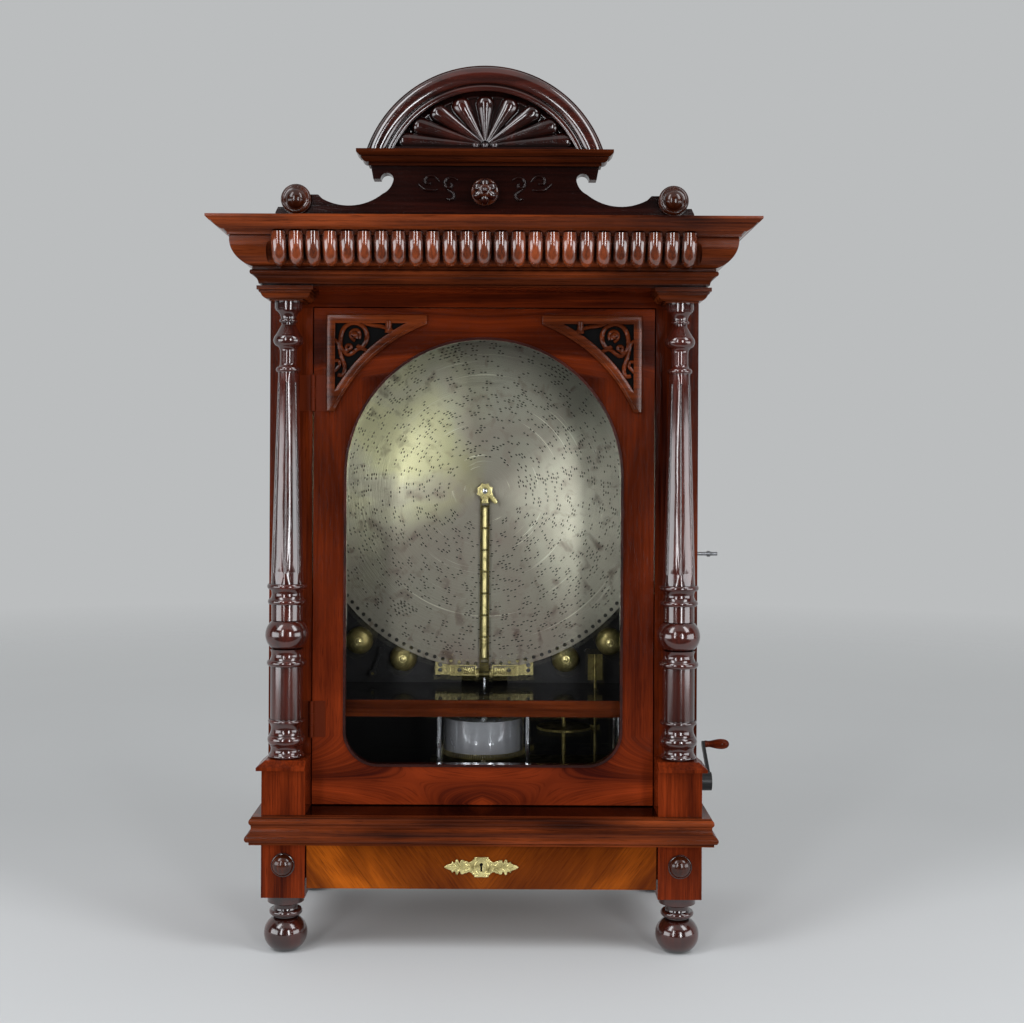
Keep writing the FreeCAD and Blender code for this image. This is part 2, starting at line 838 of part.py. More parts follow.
def moulding(name, stack, low):
    """A moulding mitred round the front and sides of the case, as front, right and left lengths."""
    high = low + stack.height
    reach = cornice_reach + post_width
    right = shifted(stack.points, half_case, low)
    across = slab(name + "_across", "front", two_sided(right), (front_y - reach, back_y))
    ahead = slab(name + "_ahead", "side", fronted(stack.points, front_y, back_y, low, high),
                 (-half_case - reach, half_case + reach))
    ring = overlap(name + "_ring", across, ahead)
    front_plan = [(-half_case, front_y), (-half_case - reach, front_y - reach),
                  (half_case + reach, front_y - reach), (half_case, front_y)]
    side_plan = [(half_case, front_y), (half_case + reach, front_y - reach),
                 (half_case + reach, back_y), (half_case, back_y)]
    front = overlap(name + "_front", ring, slab(name + "_front_plan", "plan", front_plan, (low, high)))
    side = overlap(name + "_right", ring, slab(name + "_side_plan", "plan", side_plan, (low, high)))
    return front, side


def moulding_node(name, stack, low):
    """A mitred moulding as a named sub-part of three lengths."""
    front, side = moulding(name, stack, low)
    return node(name, front, side, mirror(name + "_left", side))


# Case: feet, posts, drawer frame, base board
def make_base():
    foot_right = place(turned_stack("foot_front", foot), column_x, front_y + post_width / 2, 0)
    foot_left = mirror("foot_front_left", foot_right)
    middle = (front_y + back_y) / 2
    node("bun_feet", foot_right, foot_left,
         mirror("foot_back", foot_right, "y", middle), mirror("foot_back_left", foot_left, "y", middle))
    post = block("post_front", (post_inner, half_case), (front_y, front_y + post_width),
                 (post_foot, post_top))
    post_left = mirror("post_front_left", post)
    node("corner_posts", post, post_left,
         mirror("post_back", post, "y", middle), mirror("post_back_left", post_left, "y", middle))
    button = turned_stack("post_button", rosette)
    facing(button, "front", column_x, front_y, post_foot + post_rise * ROSETTE_LEVEL)
    both_sides("post_rosettes", button)
    rail_low = post_foot + drawer_lift
    rail_out = half_case - rail_inset
    rail_in = rail_out - rail_thick
    between = (front_y + post_width, back_y - post_width)
    side_rail = block("side_rail", (rail_in, rail_out), between, (rail_low, post_top))
    runner_top = rail_low + drawer_box_lift - end_gap
    runner = block("runner", (rail_in - runner_width, rail_in), between,
                   (runner_top - runner_thick, runner_top))
    back_rail = block("back_rail", (-post_inner, post_inner),
                      (back_y - rail_inset - rail_thick, back_y - rail_inset), (rail_low, post_top))
    node("drawer_frame", side_rail, mirror("side_rail_left", side_rail), back_rail,
         runner, mirror("runner_left", runner))
    node("base_board", block("base_board", whole_x, whole_y, (post_top, deck_top)))
    moulding_node("base_mouldings", base_moulding, post_top)


def make_columns():
    cap_low = deck_top + plinth_rise
    cap_shoulder = cap_low + cap_edge
    face = [(post_inner, deck_top), (half_case, deck_top), (half_case, cap_low),
            (half_case + cap_reach, cap_low), (half_case + cap_reach, cap_shoulder),
            (half_case - cap_inset, plinth_top), (post_inner, plinth_top)]
    flank = [(frame_front, deck_top), (frame_front, plinth_top), (front_y + cap_inset, plinth_top),
             (front_y - cap_reach, cap_shoulder), (front_y - cap_reach, cap_low), (front_y, cap_low),
             (front_y, deck_top)]
    reach = (-half_case, half_case + post_width)
    plinth = overlap("plinth", slab("plinth_face", "front", face, (front_y - post_width, frame_front)),
                     slab("plinth_flank", "side", flank, reach))
    both_sides("column_plinths", plinth)
    blank = place(turned_stack("column_blank", column), column_x, column_y, plinth_top)
    both_sides("columns", cut("column", blank, shaped("column_flutes", column_flutes())))
    right = shifted(capital.points, 0, column_top)
    square = [(column_x + point[0], point[1]) + tuple(point[2:]) for point in two_sided(right)]
    deep = fronted(capital.points, column_y, frame_front, column_top, eave_z)
    top = overlap("capital", slab("capital_face", "front", square, (front_y - post_width, frame_front)),
                  slab("capital_flank", "side", deep, reach))
    both_sides("capitals", top)


def column_flutes():
    """Round-bottomed flutes that follow the taper of the column's shaft."""
    low = float(plinth_top + column.levels[SHAFT_MEMBER] + flute_margin)
    high = float(plinth_top + column.levels[SHAFT_MEMBER + 1] - flute_margin)
    shaft_low = float(column.points[2 * SHAFT_MEMBER][0])
    shaft_high = float(column.points[2 * SHAFT_MEMBER + 1][0])
    offset = float(flute_radius - flute_depth)
    flutes = []
    for number in range(flute_count):
        turn = 2 * math.pi * number / flute_count
        out = Vector(math.sin(turn), -math.cos(turn), 0)
        axis = Vector(float(column_x), float(column_y), 0)
        start = axis + out * (shaft_low + offset) + Vector(0, 0, low)
        end = axis + out * (shaft_high + offset) + Vector(0, 0, high)
        flutes.append(Part.makeCylinder(float(flute_radius), (end - start).Length, start, end - start))
    return Part.makeCompound(flutes)


def make_case():
    side = block("side_blank", (inside_x, half_case), (frame_back, back_y), (deck_top, eave_z))
    crank_hole = rod("crank_hole", bush_radius, (barrel_y, crank_z), (inside_x, half_case), "x")
    rod_hole = rod("rod_hole", bush_radius, (front_y + rod_setback, deck_top + rod_height),
                   (inside_x, half_case), "x")
    strip = block("shelf_cleat", (inside_x - cleat, inside_x), (front_y + shelf_setback, inside_back),
                  (shelf_low - cleat, shelf_low))
    node("case_sides", cut("case_side", side, crank_hole, rod_hole), mirror("case_side_left", side),
         strip, mirror("shelf_cleat_left", strip))
    stile = block("stile", (post_inner, half_case), (frame_front, frame_back), (deck_top, eave_z))
    rail = block("top_rail", (-post_inner, post_inner), (frame_front, frame_back),
                 (eave_z - top_rail_rise, eave_z))
    node("front_frame", stile, mirror("stile_left", stile), rail)
    node("back_panel", block("back_panel", within_x, (inside_back, back_y), (deck_top, eave_z)))
    ring_top = cornice_top - top_board
    ring = block("cornice_blank", whole_x, whole_y, (eave_z, ring_top))
    well = block("cornice_well", (cornice_wall - half_case, half_case - cornice_wall),
                 (front_y + cornice_wall, back_y - cornice_wall), (eave_z, ring_top))
    node("cornice_frame", cut("cornice_frame", ring, well))
    node("case_top", block("case_top", whole_x, whole_y, (ring_top, cornice_top)))
    moulding_node("bed_mouldings", bed_moulding, eave_z)
    ovolo_low = eave_z + bed_moulding.height
    front, side = moulding("ovolo_mouldings", ovolo, ovolo_low)
    fluted = cut("ovolo_fluted", front, shaped("gadroon_cutters", gadroon_cutters(ovolo_low)))
    node("ovolo_mouldings", fluted, side, mirror("ovolo_left", side))
    moulding_node("crown_mouldings", crown, ovolo_low + ovolo.height)


def gadroon_cutters(low):
    """Round cutters along the slope of the ovolo, one for each hollow between its lobes."""
    start_out, end_out = float(ovolo.points[0][0]), float(ovolo.points[1][0])
    rise = float(ovolo.levels[1])
    slope = Vector(0, start_out - end_out, rise)
    length = slope.Length
    outward = Vector(0, -rise, start_out - end_out).normalize()
    cutters = []
    for number in range(gadroon_count):
        across = (number - (gadroon_count - 1) / 2) * float(gadroon_pitch)
        foot_point = Vector(across, float(front_y) - start_out, float(low))
        start = foot_point + outward * float(gadroon_floor + gadroon_radius)
        cutters.append(Part.makeCylinder(float(gadroon_radius), length, start, slope))
    return Part.makeCompound(cutters)


def make_crest():
    plane = front_y + crest_setback
    low = cornice_top
    board_back = plane + crest_board_thick
    lug_in = boss_x - lug_inner
    lug_out = boss_x + lug_outer
    lip = neck_half - lip_inset
    right = [
        (crest_half, low),
        (crest_half, low + crest_foot_rise * FOOT_SHOULDER),
        (crest_half - foot_slope, low + crest_foot_rise),
        (lug_out, low + crest_foot_rise),
        (lug_out, low + crest_lug_rise),
        (lug_in, low + crest_lug_rise),
        (lug_in - lug_slope, low + crest_lug_rise - lug_drop, -scoop_sag),
        (neck_half - tip_inset, low + hook_rise - tip_drop, -tip_sag),
        (neck_half - throat_inset, low + hook_rise - throat_drop, -throat_sag),
        (lip, low + hook_rise),
        (lip + lip_width, low + hook_rise),
        (neck_half, low + neck_rise),
    ]
    node("crest_board", slab("crest_board", "front", two_sided(right), (plane, board_back)))
    end_boss = facing(turned_stack("end_boss", boss), "front", boss_x, plane, low + boss_rise)
    bloom = facing(turned_stack("bloom", flower), "front", 0, plane, low + hook_rise * FLOWER_LEVEL)
    node("crest_turnings", end_boss, mirror("end_boss_left", end_boss), bloom)
    shelf_foot = low + neck_rise
    shelf_head = shelf_foot + crest_shelf.height
    across = two_sided(shifted(crest_shelf.points, neck_half, shelf_foot))
    deep = fronted(crest_shelf.points, plane, board_back, shelf_foot, shelf_head)
    wide = neck_half + post_width
    shelf_face = slab("shelf_face", "front", across, (plane - post_width, board_back))
    shelf_flank = slab("shelf_flank", "side", deep, (-wide, wide))
    node("crest_shelf", overlap("crest_shelf", shelf_face, shelf_flank))
    radius = (arch_half * arch_half + arch_rise * arch_rise) / (2 * arch_rise)
    arch_front = board_back - arch_thick
    arch = slab("crest_arch", "front", segment(radius, arch_rise, shelf_head, 0), (arch_front, board_back))
    inner_radius = radius - arch_rim
    inner_rise = arch_rise - arch_rim
    pocket(arch, segment(inner_radius, inner_rise, shelf_head, cap_edge), arch_recess)
    node("crest_arch", arch)
    fan = crest_shell(inner_radius, inner_rise, shelf_head, arch_front + arch_recess)
    node("crest_shell", shaped("crest_shell", fan))


def segment(radius, rise, foot_z, lift):
    """A round arch over a straight foot that lies a lift above the arch's own foot line."""
    drop = float(radius - rise)
    half = math.sqrt(float(radius) ** 2 - (drop + float(lift)) ** 2)
    haunch = math.sqrt(0.5) * float(radius)
    crown_z = foot_z + rise
    bulge_low = chord_bulge(float(radius), (half, float(lift)), (haunch, haunch - drop))
    bulge_high = chord_bulge(float(radius), (haunch, haunch - drop), (0, float(rise)))
    foot_line = foot_z + lift
    haunch_z = foot_z + (haunch - drop)
    return [(-half, foot_line), (half, foot_line, bulge_low), (haunch, haunch_z, bulge_high),
            (0, crown_z, bulge_high), (-haunch, haunch_z, bulge_low)]


def chord_bulge(radius, start, end):
    """How far an arc of a radius stands off its chord."""
    half = math.dist(start, end) / 2
    return radius - math.sqrt(radius ** 2 - half ** 2)


def crest_shell(radius, rise, foot_z, floor_y):
    """A fan of tapered lobes, half sunk in the floor of the arch."""
    root = Vector(0, float(floor_y), float(foot_z + cap_edge + lobe_radius))
    centre_drop = float(radius - rise) + float(cap_edge + lobe_radius)
    limit = float(radius - lobe_radius - cap_edge)
    lobes = []
    for number in range(lobe_count):
        turn = math.pi * (number + LOBE_START) / (lobe_count - 1 + 2 * LOBE_START)
        along = Vector(math.cos(turn), 0, math.sin(turn))
        reach = math.sqrt(limit ** 2 - (centre_drop * along.x) ** 2) - centre_drop * along.z
        tip = root + along * reach
        lobes.append(Part.makeCone(float(lobe_root), float(lobe_radius), reach, root, along))
        lobes.append(Part.makeSphere(float(lobe_radius), tip))
    lobes.append(Part.makeSphere(float(lobe_radius), root))
    fan = lobes[0].multiFuse(lobes[1:])
    depth = float(lobe_radius) * 2
    width = float(radius) * 2
    front = Part.makeBox(2 * width, depth, width, Vector(-width, float(floor_y) - depth, float(foot_z)))
    return fan.common(front)


# Door
def glass_outline(inset):
    """The round-topped opening with rounded lower corners, drawn in by an inset."""
    half = glass_half - inset
    low = deck_top + glass_sill + inset
    corner = glass_corner - inset
    spring = deck_top + glass_sill + glass_corner + glass_straight
    haunch = half * math.sqrt(0.5)
    right = [
        (half - corner, low, corner * ARC_CORNER),
        (half, low + corner),
        (half, spring, half * (1 - math.cos(math.pi / 8))),
        (haunch, spring + haunch, half * (1 - math.cos(math.pi / 8))),
    ]
    left = two_sided(right)[len(right):]
    return right + [(0, spring + half, half * (1 - math.cos(math.pi / 8)))] + left


def make_door():
    half = post_inner - door_gap
    low = deck_top + door_gap
    high = eave_z - top_rail_rise - door_gap
    leaf = slab("door_frame", "front", [(-half, low), (half, low), (half, high), (-half, high)],
                (frame_front, frame_back))
    pocket(leaf, glass_outline(as_size(0)))
    rebate_front = frame_front + glass_depth
    rebate = slab("door_rebate", "front", glass_outline(-glass_rebate), (rebate_front, frame_back))
    node("door_frame", cut("door_rebated", leaf, rebate))
    pane = slab("door_glass", "front", glass_outline(end_gap - glass_rebate),
                (rebate_front, rebate_front + glass_thick))
    node("door_glass", pane)
    bead = slab("glass_bead", "front", glass_outline(as_size(0)), (frame_front - bead_proud, rebate_front))
    pocket(bead, glass_outline(bead_width))
    node("glass_bead", bead)
    both_sides("spandrels", spandrel())
    door_hinges(half, low, high)


# Scrolls of a spandrel, in shares of the largest one's radius: outer radius, and distances in
# from the corner and down from it.
SCROLLS = (
    (1, 0.95, 0.95),
    (0.6, 2.45, 0.55),
    (0.6, 0.55, 2.45),
    (0.35, 3.325, 0.3),
    (0.35, 0.3, 3.325),
)


def spandrel():
    """A corner bracket of pierced scrollwork on the front of the door."""
    spring = deck_top + glass_sill + glass_corner + glass_straight
    top = spring + spandrel_top
    foot_z = spring + spandrel_foot
    arc = float(spandrel_arc)
    span = (frame_front - spandrel_thick, frame_front)
    end_top = math.sqrt(arc ** 2 - float(spandrel_inner) ** 2)
    end_side = math.sqrt(arc ** 2 - float(spandrel_foot) ** 2)
    bulge = chord_bulge(arc, (float(spandrel_inner), end_top), (end_side, float(spandrel_foot)))
    frame = slab("spandrel_frame", "front", [
        (spandrel_inner, top), (spandrel_inner, spring + end_top, -bulge), (end_side, foot_z),
        (spandrel_outer, foot_z), (spandrel_outer, top)], span)
    inner = arc + float(spandrel_strip)
    hole_top = float(spandrel_top - spandrel_strip)
    hole_side = float(spandrel_outer - spandrel_strip)
    start = (math.sqrt(inner ** 2 - hole_top ** 2), hole_top)
    end = (hole_side, math.sqrt(inner ** 2 - hole_side ** 2))
    bulge = chord_bulge(inner, start, end)
    pocket(frame, [(start[0], spring + start[1], -bulge), (end[0], spring + end[1]),
                   (end[0], spring + hole_top)])
    corner = Vector(hole_side, float(span[0]), float(spring) + hole_top)
    scrolls = []
    thick = float(spandrel_thick)
    unit = float(scroll_radius)
    for share, away, down in SCROLLS:
        radius = share * unit
        centre = corner + Vector(-away, 0, -down) * unit
        ring = Part.makeCylinder(radius, thick, centre, Vector(0, 1, 0))
        hole = Part.makeCylinder(radius - float(scroll_width), thick, centre, Vector(0, 1, 0))
        scrolls.append(ring.cut(hole))
    whole = scrolls[0].multiFuse(scrolls[1:])
    return join("spandrel", [frame, shaped("spandrel_scrolls", whole)])


def door_hinges(half, low, high):
    """Two butt hinges on the left of the door, with the pins fixed in the case leaves."""
    x = -(half + door_gap / 2)
    y = frame_front - hinge_forward
    inner = x + knuckle_radius + end_gap
    outer = x - knuckle_radius - end_gap
    leaf_y = (frame_front - leaf_thick, frame_front)
    web_y = (y, frame_front)
    third = hinge_length / 3
    fixed = []
    moving = []
    for number, foot_z in enumerate((low + hinge_inset, high - hinge_inset - hinge_length)):
        head_z = foot_z + hinge_length
        waist = (foot_z + third, head_z - third)
        fixed.append(join(f"case_leaf_{number}", [
            block(f"case_plate_{number}", (outer - hinge_leaf, outer), leaf_y, (foot_z, head_z)),
            block(f"case_web_low_{number}", (outer, x), web_y, (foot_z, waist[0])),
            block(f"case_web_high_{number}", (outer, x), web_y, (waist[1], head_z)),
            rod(f"case_knuckle_low_{number}", knuckle_radius, (x, y), (foot_z, waist[0])),
            rod(f"case_knuckle_high_{number}", knuckle_radius, (x, y), (waist[1], head_z)),
            rod(f"hinge_pin_{number}", hinge_pin_radius, (x, y), (foot_z, head_z))]))
        inside = (waist[0] + end_gap, waist[1] - end_gap)
        plate = join(f"door_leaf_blank_{number}", [
            block(f"door_plate_{number}", (inner, inner + hinge_leaf), leaf_y, (foot_z, head_z)),
            block(f"door_web_{number}", (x, inner), web_y, inside),
            rod(f"door_knuckle_{number}", knuckle_radius, (x, y), inside)])
        bore = rod(f"door_bore_{number}", hinge_pin_radius + running_gap, (x, y), inside)
        moving.append(cut(f"door_leaf_{number}", plate, bore))
    node("hinge_leaves_case", *fixed)
    node("hinge_leaves_door", *moving)


# The right edge of the keyhole plate from the bottom up, in shares of its half width and half height:
# across, up, and the swell of the leaf that follows.
LEAF_EDGE = (
    (0.24, -1, 0.064),
    (0.28, -0.72, 0.128),
    (0.5, -0.55, 0.112),
    (0.74, -0.42, 0.096),
    (1, 0, 0.096),
    (0.74, 0.42, 0.112),
    (0.5, 0.55, 0.128),
    (0.28, 0.72, 0.064),
    (0.24, 1),
)


# Drawer
def make_drawer():
    half = post_inner - drawer_gap
    low = post_foot + drawer_lift
    high = post_top - door_gap
    face = front_y + drawer_front_setback
    back_face = face + drawer_front_thick
    node("drawer_front", block("drawer_front", (-half, half), (face, back_face), (low, high)))
    side_out = half - drawer_side_inset
    side_in = side_out - drawer_wall
    box_low = low + drawer_box_lift
    box_high = high - drawer_box_drop
    end = back_face + drawer_length
    wall = block("drawer_side", (side_in, side_out), (back_face, end), (box_low, box_high))
    back_wall = block("drawer_back", (-side_in, side_in), (end - drawer_wall, end), (box_low, box_high))
    floor = block("drawer_bottom", (-side_in, side_in), (back_face, end - drawer_wall),
                  (box_low, box_low + drawer_floor))
    node("drawer_box", wall, mirror("drawer_side_left", wall), back_wall, floor)
    centre = (low + high) / 2
    rise = escutcheon_rise
    reach = escutcheon_half
    right = [(reach * across, centre + rise * up) + tuple(rise * swell for swell in swells)
             for across, up, *swells in LEAF_EDGE]
    plate = slab("drawer_escutcheon", "front", two_sided(right), (face - escutcheon_thick, face))
    slot = keyhole_slot / 2
    shoulder = math.sqrt(float(keyhole_radius) ** 2 - float(slot) ** 2)
    top_bulge = keyhole_radius * ARC_CORNER
    side_bulge = chord_bulge(float(keyhole_radius), (float(slot), -shoulder), (float(keyhole_radius), 0))
    pocket(plate, [
        (-slot, centre - keyhole_drop), (slot, centre - keyhole_drop),
        (slot, centre - shoulder, side_bulge), (keyhole_radius, centre, top_bulge),
        (0, centre + keyhole_radius, top_bulge),
        (-keyhole_radius, centre, side_bulge), (-slot, centre - shoulder)])
    node("drawer_escutcheon", plate)


# Shelf, bedplate, combs and bells
def make_shelf():
    span = (shelf_low, shelf_top)
    board = block("shelf_blank", within_x, (front_y + shelf_setback, inside_back), span)
    ways = [rod("shelf_sprocket_way", sprocket_arbor + shaft_hole_gap, sprocket_at, span),
            rod("shelf_fly_way", fly_arbor + shaft_hole_gap, fly_at, span)]
    node("mechanism_shelf", cut("mechanism_shelf", board, *ways))


def make_bed():
    bed_back = bed_front + bed_thick
    top = shelf_top + bed_rise
    notch = shelf_top + bed_notch_rise
    plate = slab("bed_plate", "front", [
        (bed_notch_half, shelf_top), (bed_half, shelf_top), (bed_half, top), (-bed_half, top),
        (-bed_half, shelf_top), (-bed_notch_half, shelf_top), (-bed_notch_half, notch),
        (bed_notch_half, notch)], (bed_front, bed_back))
    star_y = disc_y + star_setback
    star_low = shelf_top + star_lift
    star_high = star_low + star_pitch * star_count
    lug_x = (-lug_half, lug_half)
    lug_y = (star_y - lug_half, bed_front)
    lugs = [block(f"star_lug_{number}", lug_x, lug_y, (foot_z, foot_z + lug_thick))
            for number, foot_z in enumerate((star_low - lug_thick, star_high))]
    rail_y = (star_y + comb_thick / 2, bed_front)
    rail = block("comb_rail", (comb_root, comb_edge), rail_y, (star_low, star_high))
    casting = join("bed_casting", [plate] + lugs + [rail, mirror("comb_rail_left", rail)])
    arbor_span = (star_low - lug_thick, star_high + lug_thick)
    bore = rod("star_bore", star_arbor + running_gap, (0, star_y), arbor_span)
    node("bedplate", cut("bedplate", casting, bore))
    corners = comb_points(star_low, star_high)
    both_sides("steel_combs", slab_from_points("comb_right", corners, star_y - comb_thick / 2, comb_thick))
    stars = [star_solid(number, star_low, star_y) for number in range(star_count)]
    arbor = Part.makeCylinder(float(star_arbor), float(star_high - star_low + 2 * lug_thick),
                              Vector(0, float(star_y), float(star_low - lug_thick)))
    node("star_wheels", shaped("star_wheels", arbor.multiFuse(stars)))
    collar_y = disc_back + end_gap
    spindle = join("disc_spindle", [
        rod("spindle_pin", spindle_radius, (0, disc_z), (disc_y - spindle_reach, bed_front), "y"),
        rod("spindle_boss", spindle_collar, (0, disc_z), (collar_y, bed_front), "y")])
    node("disc_spindle", spindle)


def slab_from_points(name, points, y, thick):
    """A sheet of many corners in the front view, padded back from y."""
    ring = [Vector(across, float(y), up) for across, up in points]
    face = Part.Face(Part.makePolygon(ring + ring[:1]))
    return shaped(name, face.extrude(Vector(0, float(thick), 0)))


def comb_points(low, high):
    """A comb's outline: an edge strip and one tooth for each star wheel."""
    edge = float(comb_edge)
    root = float(comb_root)
    tip = float(comb_tip)
    half = float(comb_tooth) / 2
    points = [(edge, float(low)), (edge, float(high)), (root, float(high))]
    for number in reversed(range(star_count)):
        centre = float(low + star_pitch * (number + 0.5))
        for across, up in ((root, half), (tip, half), (tip, -half), (root, -half)):
            points.append((across, centre + up))
    return points + [(root, float(low))]


def star_solid(number, low, star_y):
    """One star wheel on its arbor."""
    foot_z = float(low + star_pitch * (number + 0.5) - star_thick / 2)
    ring = []
    for step in range(2 * star_points):
        turn = math.pi * (step + 0.5) / star_points
        reach = float(star_radius) * (1 if step % 2 else STAR_ROOT)
        ring.append(Vector(reach * math.cos(turn), float(star_y) + reach * math.sin(turn), foot_z))
    return Part.Face(Part.makePolygon(ring + ring[:1])).extrude(Vector(0, 0, float(star_thick)))


def make_bells():
    mouth = disc_y + bell_clear + bell_rise
    bells = []
    posts = []
    places = (("inner", bell_inner_x, bell_inner_lift), ("outer", bell_outer_x, bell_outer_lift))
    for side in (1, -1):
        for where, x, lift in places:
            tag = f"{where}_{'right' if side > 0 else 'left'}"
            spot = (x * side, shelf_top + lift)
            inner = bell_radius - bell_wall
            cup = turned("bell_" + tag, [(inner, 0), (bell_radius, 0, bell_swell), (bell_post, bell_rise),
                                         (bell_post, bell_rise - bell_wall, -bell_swell)])
            bells.append(facing(cup, "front", spot[0], mouth, spot[1]))
            nut_back = mouth - bell_rise - end_gap
            nut_front = nut_back - bell_wall
            posts.append(join("post_" + tag, [
                rod("stem_" + tag, bell_post, spot, (nut_front, bed_front), "y"),
                rod("nut_" + tag, bell_nut, spot, (nut_front, nut_back), "y")]))
        pivot = (hammer_x * side, shelf_top + hammer_lift)
        tag = "right" if side > 0 else "left"
        hammer_y = disc_y + hammer_setback
        posts.append(rod("hammer_pin_" + tag, pivot_radius, pivot, (hammer_y, bed_front), "y"))
        node(f"bell_hammer_{tag}", hammer(tag, side, pivot, hammer_y))
    node("bells", *bells)
    node("bell_posts", *posts)


def hammer(tag, side, pivot, hammer_y):
    """A hammer that rocks between two bells on a pin."""
    turn = math.radians(hammer_lean)
    head_x = pivot[0] - hammer_length * math.sin(turn) * side
    head_z = pivot[1] + hammer_length * math.cos(turn)
    span = (hammer_y, hammer_y + hammer_thick)
    half = hammer_arm / 2
    arm = slab("hammer_arm_" + tag, "front", [
        (pivot[0] - half, pivot[1]), (pivot[0] + half, pivot[1]), (head_x + half, head_z),
        (head_x - half, head_z)], span)
    hub = rod("hammer_hub_" + tag, hammer_hub, pivot, span, "y")
    head = rod("hammer_head_" + tag, hammer_head, (head_x, head_z), span, "y")
    whole = join("hammer_blank_" + tag, [arm, hub, head])
    bore = rod("hammer_bore_" + tag, pivot_radius + running_gap, pivot, span, "y")
    return cut("hammer_" + tag, whole, bore)


def make_bracket():
    low = shelf_top + bracket_lift
    high = low + bracket_rise
    waist = low + bracket_waist
    front = disc_y + bracket_setback
    notch = sprocket_pitch + pin_reach
    plate = slab("bracket_plate", "front", [
        (-bracket_half, low), (bracket_half, low), (bracket_half, high), (notch, high), (notch, waist),
        (-notch, waist), (-notch, high), (-bracket_half, high)], (front, front + bracket_thick))
    foot_end = block("bracket_foot", (bracket_half - bracket_end, bracket_half), (front, bed_front),
                     (low, high))
    pivot = (disc_y - pivot_forward, low + pivot_radius)
    ear_x = (ear_half, ear_half + ear_thick)
    ear = join("bracket_ear", [
        rod("ear_round", ear_radius, pivot, ear_x, "x"),
        block("ear_strap", ear_x, (pivot[0], front), (low - pivot_radius, low + ear_radius))])
    body = join("bracket_body", [plate, foot_end, mirror("bracket_foot_left", foot_end), ear,
                                 mirror("bracket_ear_left", ear)])
    hole = rod("pivot_hole", pivot_radius, pivot, (-ear_half - ear_thick, ear_half + ear_thick), "x")
    pin = rod("pivot_pin", pivot_radius, pivot, (-ear_half - ear_thick, ear_half + ear_thick), "x")
    node("drive_bracket", cut("bracket", body, hole), pin)
    screws = []
    for number, (x, z) in enumerate(((bracket_half - screw_inset, high - screw_inset),
                                     (bracket_half - screw_inset, low + screw_inset),
                                     (bracket_half - 5 * screw_inset, low + screw_inset))):
        head = rod(f"screw_{number}", screw_head, (x, z), (front - screw_proud, front), "y")
        screws.extend([head, mirror(f"screw_left_{number}", head)])
    node("bracket_screws", *screws)
    return pivot


def make_pressure_bar(pivot):
    roller_y = disc_front - end_gap - roller_radius
    low = pivot[1]
    first = shelf_top + roller_start
    rail_in = roller_radius + rail_gap
    rail_out = rail_in + bar_rail
    depth = (roller_y - bar_depth / 2, roller_y + bar_depth / 2)
    rail_high = disc_z - eye_inner - bar_rail
    rail = block("bar_rail", (rail_in, rail_out), depth, (low + ear_radius, rail_high))
    pieces = [rail, mirror("bar_rail_left", rail)]
    gap = roller_pitch - roller_length
    for number in range(roller_count + 1):
        foot_z = first + roller_pitch * number - gap + end_gap
        head_z = foot_z + gap - 2 * end_gap
        pieces.append(block(f"bar_bearer_{number}", (-rail_in, rail_in), depth, (foot_z, head_z)))
    tail = block("bar_tail", (-rail_in, rail_in), depth, (low, first - gap - roller_radius))
    knuckle = rod("bar_knuckle", ear_radius, pivot, (end_gap - ear_half, ear_half - end_gap), "x")
    pieces.extend([tail, knuckle, rod("bar_eye", eye_outer, (0, disc_z), depth, "y")])
    frame = join("bar_frame", pieces)
    top = first + roller_pitch * roller_count
    axle_span = (first - gap, top)
    bore = rod("bar_bore", pivot_radius + running_gap, pivot, (-ear_half, ear_half), "x")
    eye = rod("bar_eye_hole", eye_inner, (0, disc_z), depth, "y")
    axle_hole = rod("axle_hole", axle_radius, (0, roller_y), axle_span)
    node("pressure_bar", cut("bar", frame, bore, eye, axle_hole),
         rod("roller_axle", axle_radius, (0, roller_y), axle_span))
    rollers = []
    for number in range(roller_count):
        foot_z = first + roller_pitch * number
        span = (foot_z, foot_z + roller_length)
        blank = rod(f"roller_blank_{number}", roller_radius, (0, roller_y), span)
        hole = rod(f"roller_bore_{number}", axle_radius + running_gap, (0, roller_y), span)
        rollers.append(cut(f"roller_{number}", blank, hole))
    node("pressure_rollers", *rollers)


def make_disc():
    back = Vector(0, float(disc_sheet), 0)
    centre = Vector(0, float(disc_front), float(disc_z))
    rings = [Part.Wire(Part.makeCircle(float(disc_radius), centre, back)),
             Part.Wire(Part.makeCircle(float(spindle_radius + running_gap), centre, back))]
    for number in range(hole_count):
        turn = 2 * math.pi * number / hole_count
        spot = centre + Vector(math.sin(turn), 0, -math.cos(turn)) * float(hole_circle)
        rings.append(Part.Wire(Part.makeCircle(float(hole_radius), spot, back)))
    face = Part.Face(rings, "Part::FaceMakerBullseye")
    node("tune_disc", shaped("tune_disc", face.extrude(back)))


# Spring motor
def involute(angle):
    """The involute function of an angle."""
    return math.tan(angle) - angle


PRESSURE_ANGLE = math.radians(20)
ADDENDUM = 0.8
DEDENDUM = 1.05
BACKLASH = 0.14


